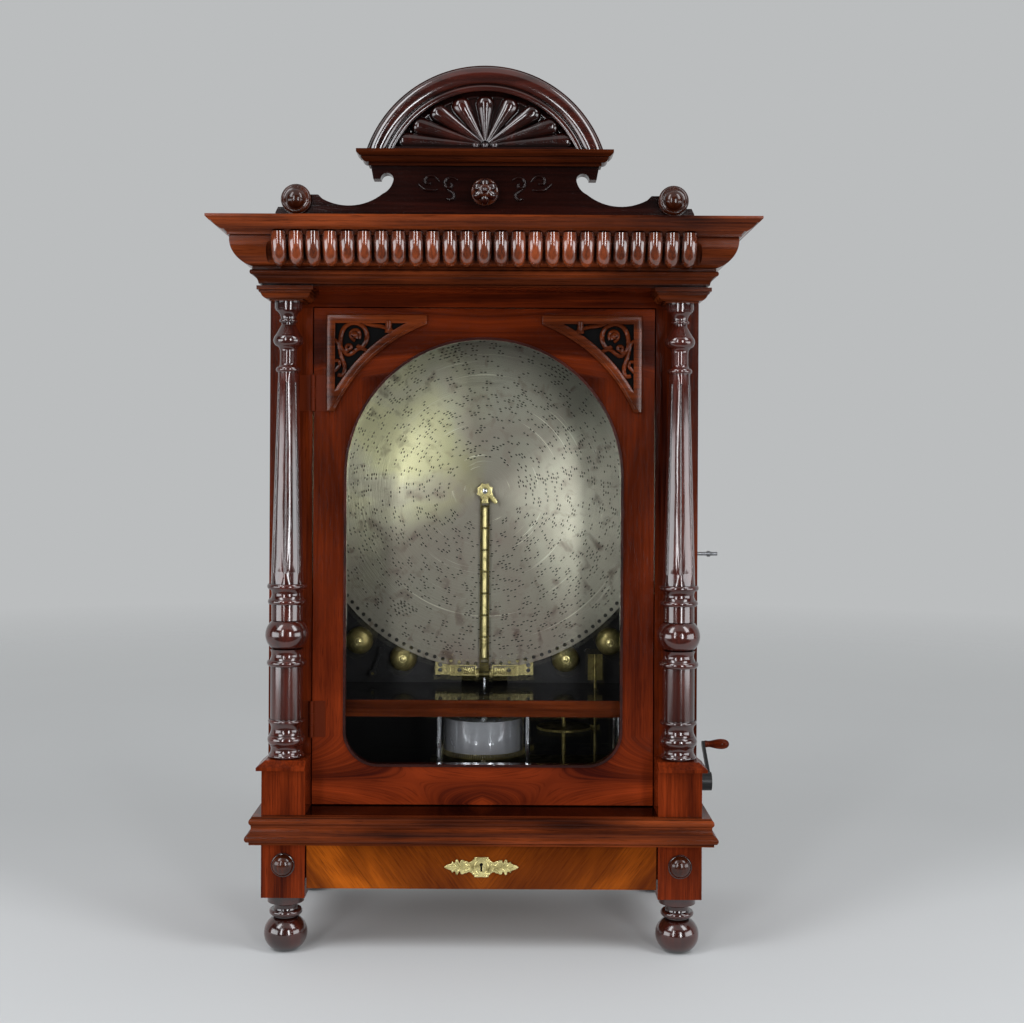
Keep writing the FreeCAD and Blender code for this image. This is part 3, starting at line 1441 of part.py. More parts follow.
def gear(name, teeth, module, at, low, thick, phase, hole):
    """A flat gear of stub involute teeth on a six-sided hole; phase is the direction of one tooth."""
    module = float(module)
    pitch = module * teeth / 2
    base = pitch * math.cos(PRESSURE_ANGLE)
    half_tooth = math.pi / (2 * teeth) - BACKLASH * module / (2 * pitch)
    flank = []
    for radius in (pitch - DEDENDUM * module, pitch, pitch + ADDENDUM * module):
        slant = math.acos(min(1.0, base / radius))
        flank.append((radius, half_tooth + involute(PRESSURE_ANGLE) - involute(slant)))
    centre = Vector(float(at[0]), float(at[1]), float(low))
    ring = []
    for number in range(teeth):
        middle = math.radians(phase) + 2 * math.pi * number / teeth
        for radius, spread in [(r, -a) for r, a in flank] + [(r, a) for r, a in reversed(flank)]:
            turn = middle + spread
            ring.append(centre + Vector(radius * math.cos(turn), radius * math.sin(turn), 0))
    rings = [Part.makePolygon(ring + ring[:1]), hex_ring(centre, float(hole))]
    face = Part.Face(rings, "Part::FaceMakerBullseye")
    return shaped(name, face.extrude(Vector(0, 0, float(thick))))


def hex_ring(centre, radius):
    """A six-sided ring in plan that stands clear of a circle of a radius."""
    corner = radius / math.cos(math.pi / 6)
    turns = [math.pi * number / 3 for number in range(7)]
    return Part.makePolygon([centre + Vector(math.cos(turn), math.sin(turn), 0) * corner for turn in turns])


def mesh_phase(wheel_phase, wheel_teeth, direction):
    """The phase that puts a pinion's gap on a wheel's tooth, in the direction from wheel to pinion."""
    slip = (wheel_phase - direction) * wheel_teeth / pinion_teeth
    return direction + 180 + 180 / pinion_teeth - slip


def make_motor():
    high = shelf_low
    plate_x = (-plate_left, plate_right)
    plate_y = (barrel_y - plate_front, barrel_y + plate_back)
    bottom_z = (motor_low, motor_low + plate_thick)
    top_z = (high - plate_thick, high)
    holes = [("winding", arbor_radius, barrel_at), ("sprocket", sprocket_arbor, sprocket_at),
             ("second", train_arbor, second_at), ("third", train_arbor, third_at),
             ("fly", fly_arbor, fly_at)]
    plates = []
    for tag, span in (("bottom", bottom_z), ("top", top_z)):
        ways = [rod(f"{tag}_{name}_hole", radius + running_gap, at, span) for name, radius, at in holes]
        plates.append(cut(f"{tag}_plate", block(f"{tag}_plate_blank", plate_x, plate_y, span), *ways))
    node("motor_plates", *plates)
    span = (bottom_z[1], top_z[0])
    near = barrel_y - pillar_y
    far = barrel_y + pillar_y
    spots = [(pillar_x, near), (-pillar_x, near), (-pillar_x, far), (pillar_far_x, near), (pillar_far_x, far)]
    pillars = [rod(f"pillar_{number}", pillar_radius, spot, span) for number, spot in enumerate(spots)]
    node("motor_pillars", *pillars)
    make_barrel(top_z)
    make_train(bottom_z, top_z)


def make_barrel(top_z):
    bore = arbor_radius + running_gap
    inside = barrel_radius - barrel_wall
    lid_low = barrel_rise - barrel_floor
    drum = turned("barrel_drum", [
        (bore, 0), (barrel_radius, 0), (barrel_radius, barrel_rise), (inside, barrel_rise),
        (inside, barrel_floor), (bore, barrel_floor)])
    place(drum, 0, barrel_y, drum_low)
    lid = turned("barrel_lid", [(bore, 0), (inside, 0), (inside, barrel_floor), (bore, barrel_floor)])
    place(lid, 0, barrel_y, drum_low + lid_low)
    node("spring_barrel", drum, lid)
    node("barrel_gear", gear("barrel_gear", barrel_teeth, gear_module, barrel_at, gear_low, gear_thick, 0,
                             arbor_radius + shaft_hole_gap))
    crown_low = crank_z + blade_tip * CROWN_LEVEL
    plate_low = crown_low + crown_depth
    node("winding_arbor", rod("winding_arbor", arbor_radius, barrel_at, (crown_low, top_z[1])))
    node("winding_wheel", shaped("winding_wheel", crown_wheel(crown_low, plate_low)))


def crown_wheel(low, plate_low):
    """A crown wheel whose teeth hang down from its rim, with a six-sided hole for its arbor."""
    inner = float(crown_pitch_radius - crown_face / 2 - crown_rim)
    outer = float(crown_pitch_radius + crown_face / 2 + crown_rim)
    centre = Vector(0, float(barrel_y), 0)
    raised = centre + Vector(0, 0, float(plate_low))
    turns = [math.pi * number / crown_teeth for number in range(2 * crown_teeth)]
    rim = [raised + Vector(math.cos(turn), math.sin(turn), 0) * outer for turn in turns]
    rings = [Part.makePolygon(rim + rim[:1]), hex_ring(raised, float(arbor_radius))]
    plate = Part.Face(rings, "Part::FaceMakerBullseye").extrude(Vector(0, 0, float(crown_plate)))
    teeth = []
    half = float(crown_tooth) / 2
    edge = outer * math.cos(math.pi / (2 * crown_teeth)) - half
    for number in range(crown_teeth):
        corner = Vector(inner, -half, float(low))
        tooth = Part.makeBox(edge - inner, 2 * half, float(plate_low - low), corner)
        tooth.rotate(Vector(), Vector(0, 0, 1), 360 * (number + 0.5) / crown_teeth)
        tooth.translate(centre)
        teeth.append(tooth)
    return plate.multiFuse(teeth)


def make_train(bottom_z, top_z):
    second_low = drum_top + second_lift
    third_low = second_low - third_drop
    span = (bottom_z[0], top_z[1])
    spread = (gear_thick - wheel_thick) / 2
    second_phase = mesh_phase(0, barrel_teeth, second_bearing)
    third_phase = mesh_phase(0, second_teeth, third_bearing)
    fly_phase = mesh_phase(0, third_teeth, fly_bearing)
    sprocket_foot = sprocket_z - sprocket_thick / 2
    node("drive_sprocket",
         gear("sprocket_pinion", pinion_teeth, gear_module, sprocket_at, gear_low, gear_thick,
              mesh_phase(0, barrel_teeth, 90), sprocket_arbor),
         rod("sprocket_rod", sprocket_arbor, sprocket_at, (bottom_z[0], sprocket_foot)),
         shaped("pin_wheel", pin_wheel(sprocket_foot)))
    node("second_wheel",
         gear("second_pinion", pinion_teeth, gear_module, second_at, gear_low, gear_thick,
              second_phase, train_arbor),
         gear("second_gear", second_teeth, train_module, second_at, second_low, wheel_thick,
              0, train_arbor),
         rod("second_arbor", train_arbor, second_at, span))
    node("third_wheel",
         gear("third_pinion", pinion_teeth, train_module, third_at, second_low - spread, gear_thick,
              third_phase, train_arbor),
         gear("third_gear", third_teeth, train_module, third_at, third_low, wheel_thick, 0, train_arbor),
         rod("third_arbor", train_arbor, third_at, span))
    fly_low = shelf_top + fly_lift
    fly_high = fly_low + fly_rise
    x, y = fly_at
    vane_y = (y - fly_thick / 2, y + fly_thick / 2)
    root = fly_arbor * VANE_ROOT
    vane = join("fly_vane", [
        block("vane_right", (x + root, x + fly_half), vane_y, (fly_low, fly_high)),
        block("vane_left", (x - fly_half, x - root), vane_y, (fly_low, fly_high)),
        rod("fly_rod", fly_arbor, fly_at, (bottom_z[0], fly_high))])
    pinion = gear("fly_pinion", pinion_teeth, train_module, fly_at, third_low - spread, gear_thick,
                  fly_phase, fly_arbor)
    node("fly", pinion, vane)


def pin_wheel(low):
    """The wheel that drives the disc: pins round its rim pass through the disc's rim holes."""
    rim = float(sprocket_pitch - disc_sheet / 2 - sprocket_clear + end_gap)
    tip = float(sprocket_pitch + pin_reach)
    centre = Vector(0, float(sprocket_y), float(sprocket_z))
    foot_point = Vector(0, float(sprocket_y), float(low))
    wheel = Part.makeCylinder(rim, float(sprocket_thick), foot_point)
    pins = []
    for number in range(pin_count):
        turn = 2 * math.pi * number / pin_count
        out = Vector(math.sin(turn), -math.cos(turn), 0)
        start = centre + out * (rim - float(pin_root))
        pins.append(Part.makeCylinder(float(pin_radius), tip - rim + float(pin_root), start, out))
    return wheel.multiFuse(pins)


# Winding crank and start rod
def make_crank():
    line = (barrel_y, crank_z)
    blade_x = (crown_pitch_radius - crown_face / 2, crown_pitch_radius + crown_face / 2)
    hub_x = half_case + hub_start
    hub_end = hub_x + hub_length
    node("crank_shaft", rod("crank_rod", crank_shaft_radius, line, (blade_x[1], hub_x), "x"),
         shaped("crank_pinion", blade_pinion(blade_x)))
    shaft_bore = crank_shaft_radius + running_gap
    bush_x = (inside_x, half_case + bush_proud)
    bush = cut("crank_bush", rod("crank_bush_blank", bush_radius, line, bush_x, "x"),
               rod("crank_bush_bore", shaft_bore, line, bush_x, "x"))
    bearing_x = (block_x, block_x + block_wide)
    bearing_y = (barrel_y - block_deep / 2, barrel_y + block_deep / 2)
    bearing = cut("crank_block", block("crank_block_blank", bearing_x, bearing_y, (deck_top, motor_low)),
                  rod("crank_block_bore", shaft_bore, line, bearing_x, "x"))
    line_rod = (front_y + rod_setback, deck_top + rod_height)
    guide = cut("rod_bush", rod("rod_bush_blank", bush_radius, line_rod, bush_x, "x"),
                rod("rod_bush_bore", rod_radius + running_gap, line_rod, bush_x, "x"))
    node("shaft_bearings", bush, guide, bearing)
    turn = math.radians(arm_lean)
    tip = (barrel_y + arm_length * math.cos(turn), crank_z + arm_length * math.sin(turn))
    half = arm_width / 2
    arm_x = (hub_end - arm_thick, hub_end)
    rise = half * math.cos(turn)
    run = half * math.sin(turn)
    bar = slab("crank_bar", "side", [
        (barrel_y + run, crank_z - rise), (tip[0] + run, tip[1] - rise), (tip[0] - run, tip[1] + rise),
        (barrel_y - run, crank_z + rise)], arm_x)
    pin_end = grip.height * PIN_SHARE
    node("crank_arm", join("crank_arm", [
        rod("crank_hub", hub_radius, line, (hub_x, hub_end), "x"), bar,
        rod("crank_eye", half, tip, arm_x, "x"),
        rod("grip_stud", grip_pin, tip, (hub_end, hub_end + pin_end), "x")]))
    bore = grip_pin + running_gap
    blind = [(0, grip.height), (0, pin_end), (bore, pin_end)]
    handle = turned("crank_handle", [(bore, 0)] + grip.points + blind)
    node("crank_handle", facing(handle, "x", hub_end + end_gap, tip[0], tip[1]))
    node("start_rod", join("start_rod", [
        rod("start_rod_bar", rod_radius, line_rod, (rod_inner, rod_outer), "x"),
        rod("start_rod_collar", rod_collar, line_rod, (rod_collar_at, rod_collar_at + rod_collar), "x"),
        rod("start_rod_stop", rod_collar, line_rod, (rod_inner, rod_inner + rod_collar), "x")]))


def blade_pinion(span):
    """A pinion of thin straight blades that runs under the crown wheel's teeth."""
    half = float(blade_thick) / 2
    core = float(blade_core)
    tip = float(blade_tip)
    ring = []
    for number in range(crank_pinion_teeth):
        turn = 2 * math.pi * number / crank_pinion_teeth
        up = Vector(0, math.sin(turn), math.cos(turn))
        aside = Vector(0, math.cos(turn), -math.sin(turn))
        for reach, offset in ((core, -half), (tip, -half), (tip, half), (core, half)):
            ring.append(up * reach + aside * offset)
    centre = Vector(float(span[0]), float(barrel_y), float(crank_z))
    ring = [centre + point for point in ring]
    face = Part.Face(Part.makePolygon(ring + ring[:1]))
    return face.extrude(Vector(float(span[1] - span[0]), 0, 0))


def check():
    """Every object is sound, every pocket has cut, and every sub-part is a valid shape."""
    for thing in doc.Objects:
        if "Invalid" in thing.State or "Error" in thing.State:
            raise RuntimeError(f"{thing.Label} failed: {thing.State}")
    for before, after in pockets:
        if after.Shape.Volume >= before.Shape.Volume:
            raise RuntimeError(f"{after.Label} cut nothing")
    for name, piece in nodes.items():
        if piece.Shape.isNull() or not piece.Shape.isValid() or not piece.Shape.Solids:
            raise RuntimeError(f"{name} is not a valid solid")


make_base()
make_columns()
make_case()
make_crest()
make_door()
make_drawer()
make_shelf()
make_bed()
make_bells()
make_pressure_bar(make_bracket())
make_disc()
make_motor()
make_crank()
doc.recompute()
check()
os.makedirs("parts", exist_ok=True)
for name, piece in nodes.items():
    piece.Shape.exportStep(f"parts/{name}.step")
print(len(nodes), "sub-parts,", sum(len(piece.Shape.Solids) for piece in nodes.values()), "solids")
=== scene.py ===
import math
import random

import bpy
from mathutils import Matrix, Vector


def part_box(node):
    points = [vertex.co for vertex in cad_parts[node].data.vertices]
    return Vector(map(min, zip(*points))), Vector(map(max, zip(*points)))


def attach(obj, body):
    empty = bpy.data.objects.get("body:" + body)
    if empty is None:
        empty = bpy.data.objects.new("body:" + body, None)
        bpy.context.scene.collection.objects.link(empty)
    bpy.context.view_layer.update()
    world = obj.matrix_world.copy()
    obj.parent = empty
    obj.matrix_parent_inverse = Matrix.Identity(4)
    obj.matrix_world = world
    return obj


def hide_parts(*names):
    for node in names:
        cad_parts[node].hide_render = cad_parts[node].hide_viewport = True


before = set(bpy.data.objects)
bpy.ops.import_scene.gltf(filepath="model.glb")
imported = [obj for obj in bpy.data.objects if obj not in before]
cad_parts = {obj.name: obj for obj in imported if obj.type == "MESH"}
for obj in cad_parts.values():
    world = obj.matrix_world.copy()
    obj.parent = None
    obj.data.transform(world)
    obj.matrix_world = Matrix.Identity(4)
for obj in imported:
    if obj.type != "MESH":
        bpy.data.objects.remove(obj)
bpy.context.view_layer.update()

bl_info = {
    "name": "Upright disc music box",
    "version": (1, 0, 0),
    "blender": (4, 5, 0),
    "location": "View3D > Sidebar > Music Box",
    "description": "Carving, brasswork and finishes for an upright disc music box",
    "category": "Object",
}

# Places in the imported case, in metres
RAIL_FOOT = 0.848
DOOR_MIDDLE = 0.516
SIDE_INSIDE = 0.2695
FRAME_BACK = -0.058
BACK_FACE = 0.1905
DECK_TOP, DECK_BACK = 0.1825, -0.06
FLOWER_RISE = 0.9966
SPANDREL_SPRING, SPANDREL_ARC, SPANDREL_INNER = 0.623, 0.219, 0.078
BELL_CENTRES = ((0.1185, 0.357), (0.183, 0.382))

# Patterns
BACK_BOARD = 0.0895
# The last of these is the reach of the painted shade round each rim hole
RIM_HOLES, RIM_MARGIN, RIM_SHADE = 130, 0.0065, 0.0028
GADROONS, GADROON_PITCH = 25, 0.0218
TUNE_SEED = 11
TRACKS, FIRST_TRACK, TRACK_PITCH = 60, 0.05, 0.00322

CAMERA_SHIFT = (0.0107, -0.0415)
QUARTER = math.radians(90)
FORWARD = (QUARTER, 0, 0)


def tone(red, green, blue):
    """Linear colour of a shade given as display values from 0 to 255."""
    shades = (red / 255, green / 255, blue / 255)
    return tuple(((s + 0.055) / 1.055) ** 2.4 if s > 0.04 else s / 12.92 for s in shades)


def dim(shade, share):
    """A colour made darker or lighter by a share."""
    return tuple(c * share for c in shade)


def toned(pair, share):
    """The two colours of a wood made darker or lighter by a share."""
    return tuple(dim(shade, share) for shade in pair)


def colour(name, description, shade):
    """A setting that holds a colour."""
    return bpy.props.FloatVectorProperty(
        name=name, description=description, subtype="COLOR", size=3, min=0, max=1, default=tone(*shade))


def length(name, description, metres):
    """A setting that holds a length."""
    return bpy.props.FloatProperty(
        name=name, description=description, default=metres, min=0, unit="LENGTH", precision=4)


class FinishSettings(bpy.types.PropertyGroup):
    """Colours of the wood and metal."""

    polish_dark: colour("Polish, dark", "Deepest tone of the turned and carved wood", (24, 8, 6))
    polish_light: colour("Polish, light", "Lightest tone of the turned and carved wood", (84, 32, 22))
    moulding_dark: colour("Moulding, dark", "Deepest tone of the mouldings", (30, 9, 5))
    moulding_light: colour("Moulding, light", "Lightest tone of the mouldings", (134, 60, 26))
    case_dark: colour("Case, dark", "Deepest tone of the case veneer", (38, 9, 5))
    case_light: colour("Case, light", "Lightest tone of the case veneer", (134, 50, 18))
    veneer_dark: colour("Drawer veneer, dark", "Deepest tone of the drawer front", (58, 17, 6))
    veneer_light: colour("Drawer veneer, light", "Lightest tone of the drawer front", (176, 88, 18))
    plain_dark: colour("Plain wood, dark", "Deepest tone of the hidden wood", (92, 56, 30))
    plain_light: colour("Plain wood, light", "Lightest tone of the hidden wood", (160, 116, 72))
    brass_bright: colour("Brass, rubbed", "Brass where it is rubbed bright", (230, 216, 150))
    brass_dull: colour("Brass, tarnished", "Brass where it has gone dull", (140, 128, 80))
    bell_dull: colour("Bell metal, tarnished", "Bells where they have gone dull", (84, 80, 44))
    # Its full brightness is the painted sheen of the disc; elsewhere the tin is painted darker.
    disc_tin: colour("Disc tin", "Clean tin of the tune disc", (226, 224, 200))
    # Also the colour of the painted shade near the eye of the disc.
    disc_stain: colour("Disc stain", "Brown stains of the tune disc", (116, 100, 92))
    steel_bright: colour("Steel", "Bright turned steel", (206, 208, 212))
    iron_black: colour("Black iron", "Japanned castings and the dark inside", (16, 15, 15))


class CarvingSettings(bpy.types.PropertyGroup):
    """Sizes of the carved and cast ornament."""

    arch_bead: length("Arch bead", "Half width of the broad bead of the crest arch", 0.0112)
    arch_line: length("Arch line", "Half width of the narrow bead inside it", 0.0042)
    arch_fillet: length("Arch fillet", "Half width of the thin line in the hollow of the arch", 0.0025)
    lobe_tip: length("Lobe tip", "Radius of a lobe of the crest fan at its tip", 0.013)
    lobe_root: length("Lobe root", "Radius of a lobe of the crest fan at its root", 0.003)
    lobe_swell: length("Gadroon", "Radius of a lobe of the cornice", 0.0104)
    scroll_wire: length("Scroll", "Radius of the spandrel scrolls", 0.0034)
    relief: length("Relief", "Radius of the low scrolls beside the crest flower", 0.0017)
    slot_length: length("Slot length", "Length of one punched slot of the disc", 0.0041)
    slot_width: length("Slot width", "Width of one punched slot of the disc", 0.0023)


class StageSettings(bpy.types.PropertyGroup):
    """Camera and light."""

    lens: bpy.props.FloatProperty(
        name="Lens", description="Focal length", default=50.98, min=10, unit="CAMERA")
    eye: bpy.props.FloatVectorProperty(
        name="Eye", description="Place of the camera", subtype="TRANSLATION", default=(0.023, -2.02, 0.634))
    roll: bpy.props.FloatProperty(
        name="Roll", description="Tilt of the camera about its own axis", subtype="ANGLE",
        default=math.radians(-0.29))
    lamp: bpy.props.FloatProperty(
        name="Lamp", description="Power of each soft panel lamp", default=48.0, min=0, unit="POWER")
    room: colour("Room", "Plain pale surroundings", (187, 189, 190))
    floor: colour("Floor", "Plain pale floor", (208, 209, 209))


def maths(operation, swapped=False):
    """An operator of the wire, with its two terms swapped where the wire stands second."""
    def work(self, other):
        return self.sum(operation, *((other, self) if swapped else (self, other)))
    return work


class Wire:
    """A shader socket that can stand in a Python expression of values."""

    def __init__(self, tree, socket):
        self.tree = tree
        self.socket = socket

    def feed(self, socket, value):
        """Links a wire to a socket, or sets a plain value on it."""
        if isinstance(value, Wire):
            self.tree.links.new(value.socket, socket)
        elif socket.type == "RGBA":
            socket.default_value = (*value[:3], 1)
        else:
            socket.default_value = value

    def put(self, kind, settings, inputs, out=0):
        """Adds a node, with its settings first and then the values or links of its sockets."""
        node = self.tree.nodes.new(kind)
        for key, value in settings.items():
            setattr(node, key, value)
        for key, value in inputs.items():
            self.feed(node.inputs[key], value)
        return Wire(self.tree, node.outputs[out])

    def sum(self, operation, *terms):
        """The result of a maths node."""
        return self.put("ShaderNodeMath", {"operation": operation}, dict(enumerate(terms)))

    __add__, __radd__ = maths("ADD"), maths("ADD", True)
    __sub__, __rsub__ = maths("SUBTRACT"), maths("SUBTRACT", True)
    __mul__, __truediv__, __pow__ = maths("MULTIPLY"), maths("DIVIDE"), maths("POWER")
    __gt__, __lt__ = maths("GREATER_THAN"), maths("LESS_THAN")

    def __abs__(self):
        return self.sum("ABSOLUTE", self)

    def split(self):
        """The three parts of this vector."""
        node = self.put("ShaderNodeSeparateXYZ", {}, {0: self}).socket.node
        return [Wire(self.tree, output) for output in node.outputs]

    def join(self, *parts):
        """A vector of three parts."""
        return self.put("ShaderNodeCombineXYZ", {}, dict(enumerate(parts)))

    def blend(self, first, second):
        """Mixes two colours by this value."""
        return self.put("ShaderNodeMix", {"data_type": "RGBA"}, {0: self, 6: first, 7: second}, 2)

    def pick(self, first, second):
        """Mixes two vectors by this value."""
        return self.put("ShaderNodeMix", {"data_type": "VECTOR"}, {0: self, 4: first, 5: second}, 1)

    def ramp(self, *stops):
        """The colour at this value between stops of position and colour."""
        wire = self.put("ShaderNodeValToRGB", {}, {0: self})
        marks = wire.socket.node.color_ramp.elements
        marks.remove(marks[1])
        marks[0].position, marks[0].color = stops[0][0], (*stops[0][1], 1)
        for position, shade in stops[1:]:
            marks.new(position).color = (*shade, 1)
        return wire

    def span(self, low, high, start=0.0, end=1.0):
        """This value spread from low and high to start and end, and held there."""
        return self.put("ShaderNodeMapRange", {"clamp": True}, {0: self, 1: low, 2: high, 3: start, 4: end})

    def noise(self, scale, detail=2.0, distortion=0.0):
        """Cloudy noise at this place, as fine as its scale, which can differ from axis to axis."""
        spread = self.tinged(scale if isinstance(scale, tuple) else (scale, scale, scale))
        inputs = {"Vector": spread, "Scale": 1.0, "Detail": detail, "Distortion": distortion}
        return self.put("ShaderNodeTexNoise", {}, inputs)

    def dimmed(self, share):
        """This colour made darker or lighter by a share."""
        return self.put("ShaderNodeVectorMath", {"operation": "SCALE"}, {0: self, 3: share})

    def tinged(self, shade):
        """This colour or place multiplied by another."""
        return self.put("ShaderNodeVectorMath", {"operation": "MULTIPLY"}, {0: self, 1: shade})

    def hollows(self, reach):
        """How open a place is: 0 deep in a hollow and 1 on a free face."""
        return self.put("ShaderNodeAmbientOcclusion", {"samples": 6}, {"Distance": reach}, 1)


FINISHES = {}


class Finish:
    """One material: its shader, the piece's own coordinates and facing, and the parts that wear it."""

    def __init__(self, name, parts="", **constants):
        FINISHES[name] = self
        self.parts = parts.split()
        self.material = bpy.data.materials.new(name)
        self.material.use_nodes = True
        tree = self.material.node_tree
        tree.nodes.clear()
        self.tree = tree
        end = tree.nodes.new("ShaderNodeOutputMaterial")
        self.shader = tree.nodes.new("ShaderNodeBsdfPrincipled")
        tree.links.new(self.shader.outputs[0], end.inputs[0])
        self.set(**constants)
        place = tree.nodes.new("ShaderNodeTexCoord")
        self.place = Wire(tree, place.outputs["Object"])
        self.facing = Wire(tree, place.outputs["Normal"])
        for part in self.parts:
            dress(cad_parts[part], name)

    def set(self, **values):
        """Sets or links sockets of the shader."""
        for key, value in values.items():
            Wire(self.tree, None).feed(self.shader.inputs[key.replace("_", " ")], value)

    def now(self, key):
        """What is linked to a socket of the shader."""
        return Wire(self.tree, self.shader.inputs[key].links[0].from_socket)

    def bump(self, height, depth, strength=1.0):
        """Raises the surface by height, a value from 0 to 1, to depth in metres."""
        normal = height.put("ShaderNodeBump", {}, {"Strength": strength, "Distance": depth, "Height": height})
        self.set(Normal=normal)


def lay_grain(finish, run):
    """The piece's coordinates turned so that the grain runs along the first of them."""
    x, y, z = finish.place.split()
    if run == "up":
        return x.join(z, x, y)
    if run == "round":
        across, deep, _ = finish.facing.split()
        on_side = abs(across) > abs(deep)
        return on_side.pick(x.join(x, y, z), x.join(y, x, z))
    if run == "framed":
        return (z > RAIL_FOOT).pick(x.join(z, x, y), x.join(x, z, y))
    if run == "slant":
        mirrored = abs(x)
        return x.join(z * 0.8 + mirrored * 0.6, mirrored * 0.8 - z * 0.6, y)
    if run == "stile":
        mirrored = abs(x)
        rail = abs(z - DOOR_MIDDLE).span(0.24, 0.33)
        upright = x.join(z, mirrored, y)
        slanting = x.join(mirrored * 0.86 + z * 0.5, z * 0.86 - mirrored * 0.5, y)
        return rail.pick(upright, slanting)
    return finish.place


def wood(name, parts, shades, run="along", shine=0.09, level=0.06, figure=(2.2, 26.0), painted_shade_reach=0.0, lined=0.3,
         coat=0.0, painted_light_by_height=None):
    """Polished wood: broad figure, fine lines and pores.

    Painted shade darkens the wood in its hollows, as far as the given reach. Painted light and shade by height
    gives two heights and how bright the wood is painted at each.
    """
    dark, light = shades
    finish = Finish(name, parts, Specular_IOR_Level=level, Coat_Weight=coat, Coat_Roughness=0.07)
    grain = lay_grain(finish, run)
    broad = grain.noise((figure[0], figure[1], figure[1]), 4.0, 0.9)
    lines = grain.noise((7.0, 310.0, 310.0), 3.0, 0.2)
    pores = grain.noise((42.0, 1500.0, 1500.0), 1.0).span(0.58, 0.7)
    cloud = finish.place.noise(8.0, 2.0)
    shade = broad * (1 - lined) + lines * lined + (cloud - 0.5) * 0.28
    middle = tuple(d * 0.45 + l * 0.4 for d, l in zip(dark, light))
    tint = shade.ramp((0.31, dark), (0.5, middle), (0.68, light))
    tint = (pores * 0.55).blend(tint, dim(dark, 0.6))
    # Painted shade: the wood is darkened in its hollows.
    if painted_shade_reach:
        tarnish_and_shade_mask = finish.place.hollows(painted_shade_reach).span(0.35, 0.95)
        tint = (1 - tarnish_and_shade_mask).blend(tint, dim(dark, 0.55))
    # Painted light and shade: the wood is painted brighter or darker by height.
    if painted_light_by_height:
        tint = tint.dimmed(finish.place.split()[2].span(*painted_light_by_height))
    finish.set(Base_Color=tint, Roughness=shine + lines * 0.05 + cloud * 0.06)
    finish.bump(lines * 0.7 + pores * -0.5, 0.00008, 0.4)
    return finish


def black_inside(finish, inside, black):
    """Paints the places that are inside with the dull black of the interior."""
    mask = inside(*finish.place.split())
    finish.set(Base_Color=mask.blend(finish.now("Base Color"), black))
    finish.set(Roughness=finish.now("Roughness") * (1 - mask) + mask * 0.42)
    return mask


def metal(name, parts, bright, dull, shine=0.25, tarnish=0.5, size=60.0, solid=1.0, dents=0.5):
    """Worn metal: tarnish in clouds and in the hollows, rubbed bright where it stands out."""
    finish = Finish(name, parts)
    clouds = finish.place.noise(size, 4.0, 0.4)
    specks = finish.place.noise(size * 14, 2.0)
    shut = 1 - finish.place.hollows(0.004)
    tarnish_and_shade_mask = (clouds.span(0.66 - tarnish * 0.4, 0.8 - tarnish * 0.3) + shut * 0.9).span(0.0, 1.0)
    tint = tarnish_and_shade_mask.blend(bright, dull)
    tint = (specks.span(0.6, 0.74) * 0.5).blend(tint, dim(dull, 0.35))
    finish.set(Base_Color=tint, Metallic=solid, Roughness=shine + tarnish_and_shade_mask * 0.22 + specks * 0.06)
    finish.bump(specks * 0.5 + clouds * 0.5, 0.00006, dents)


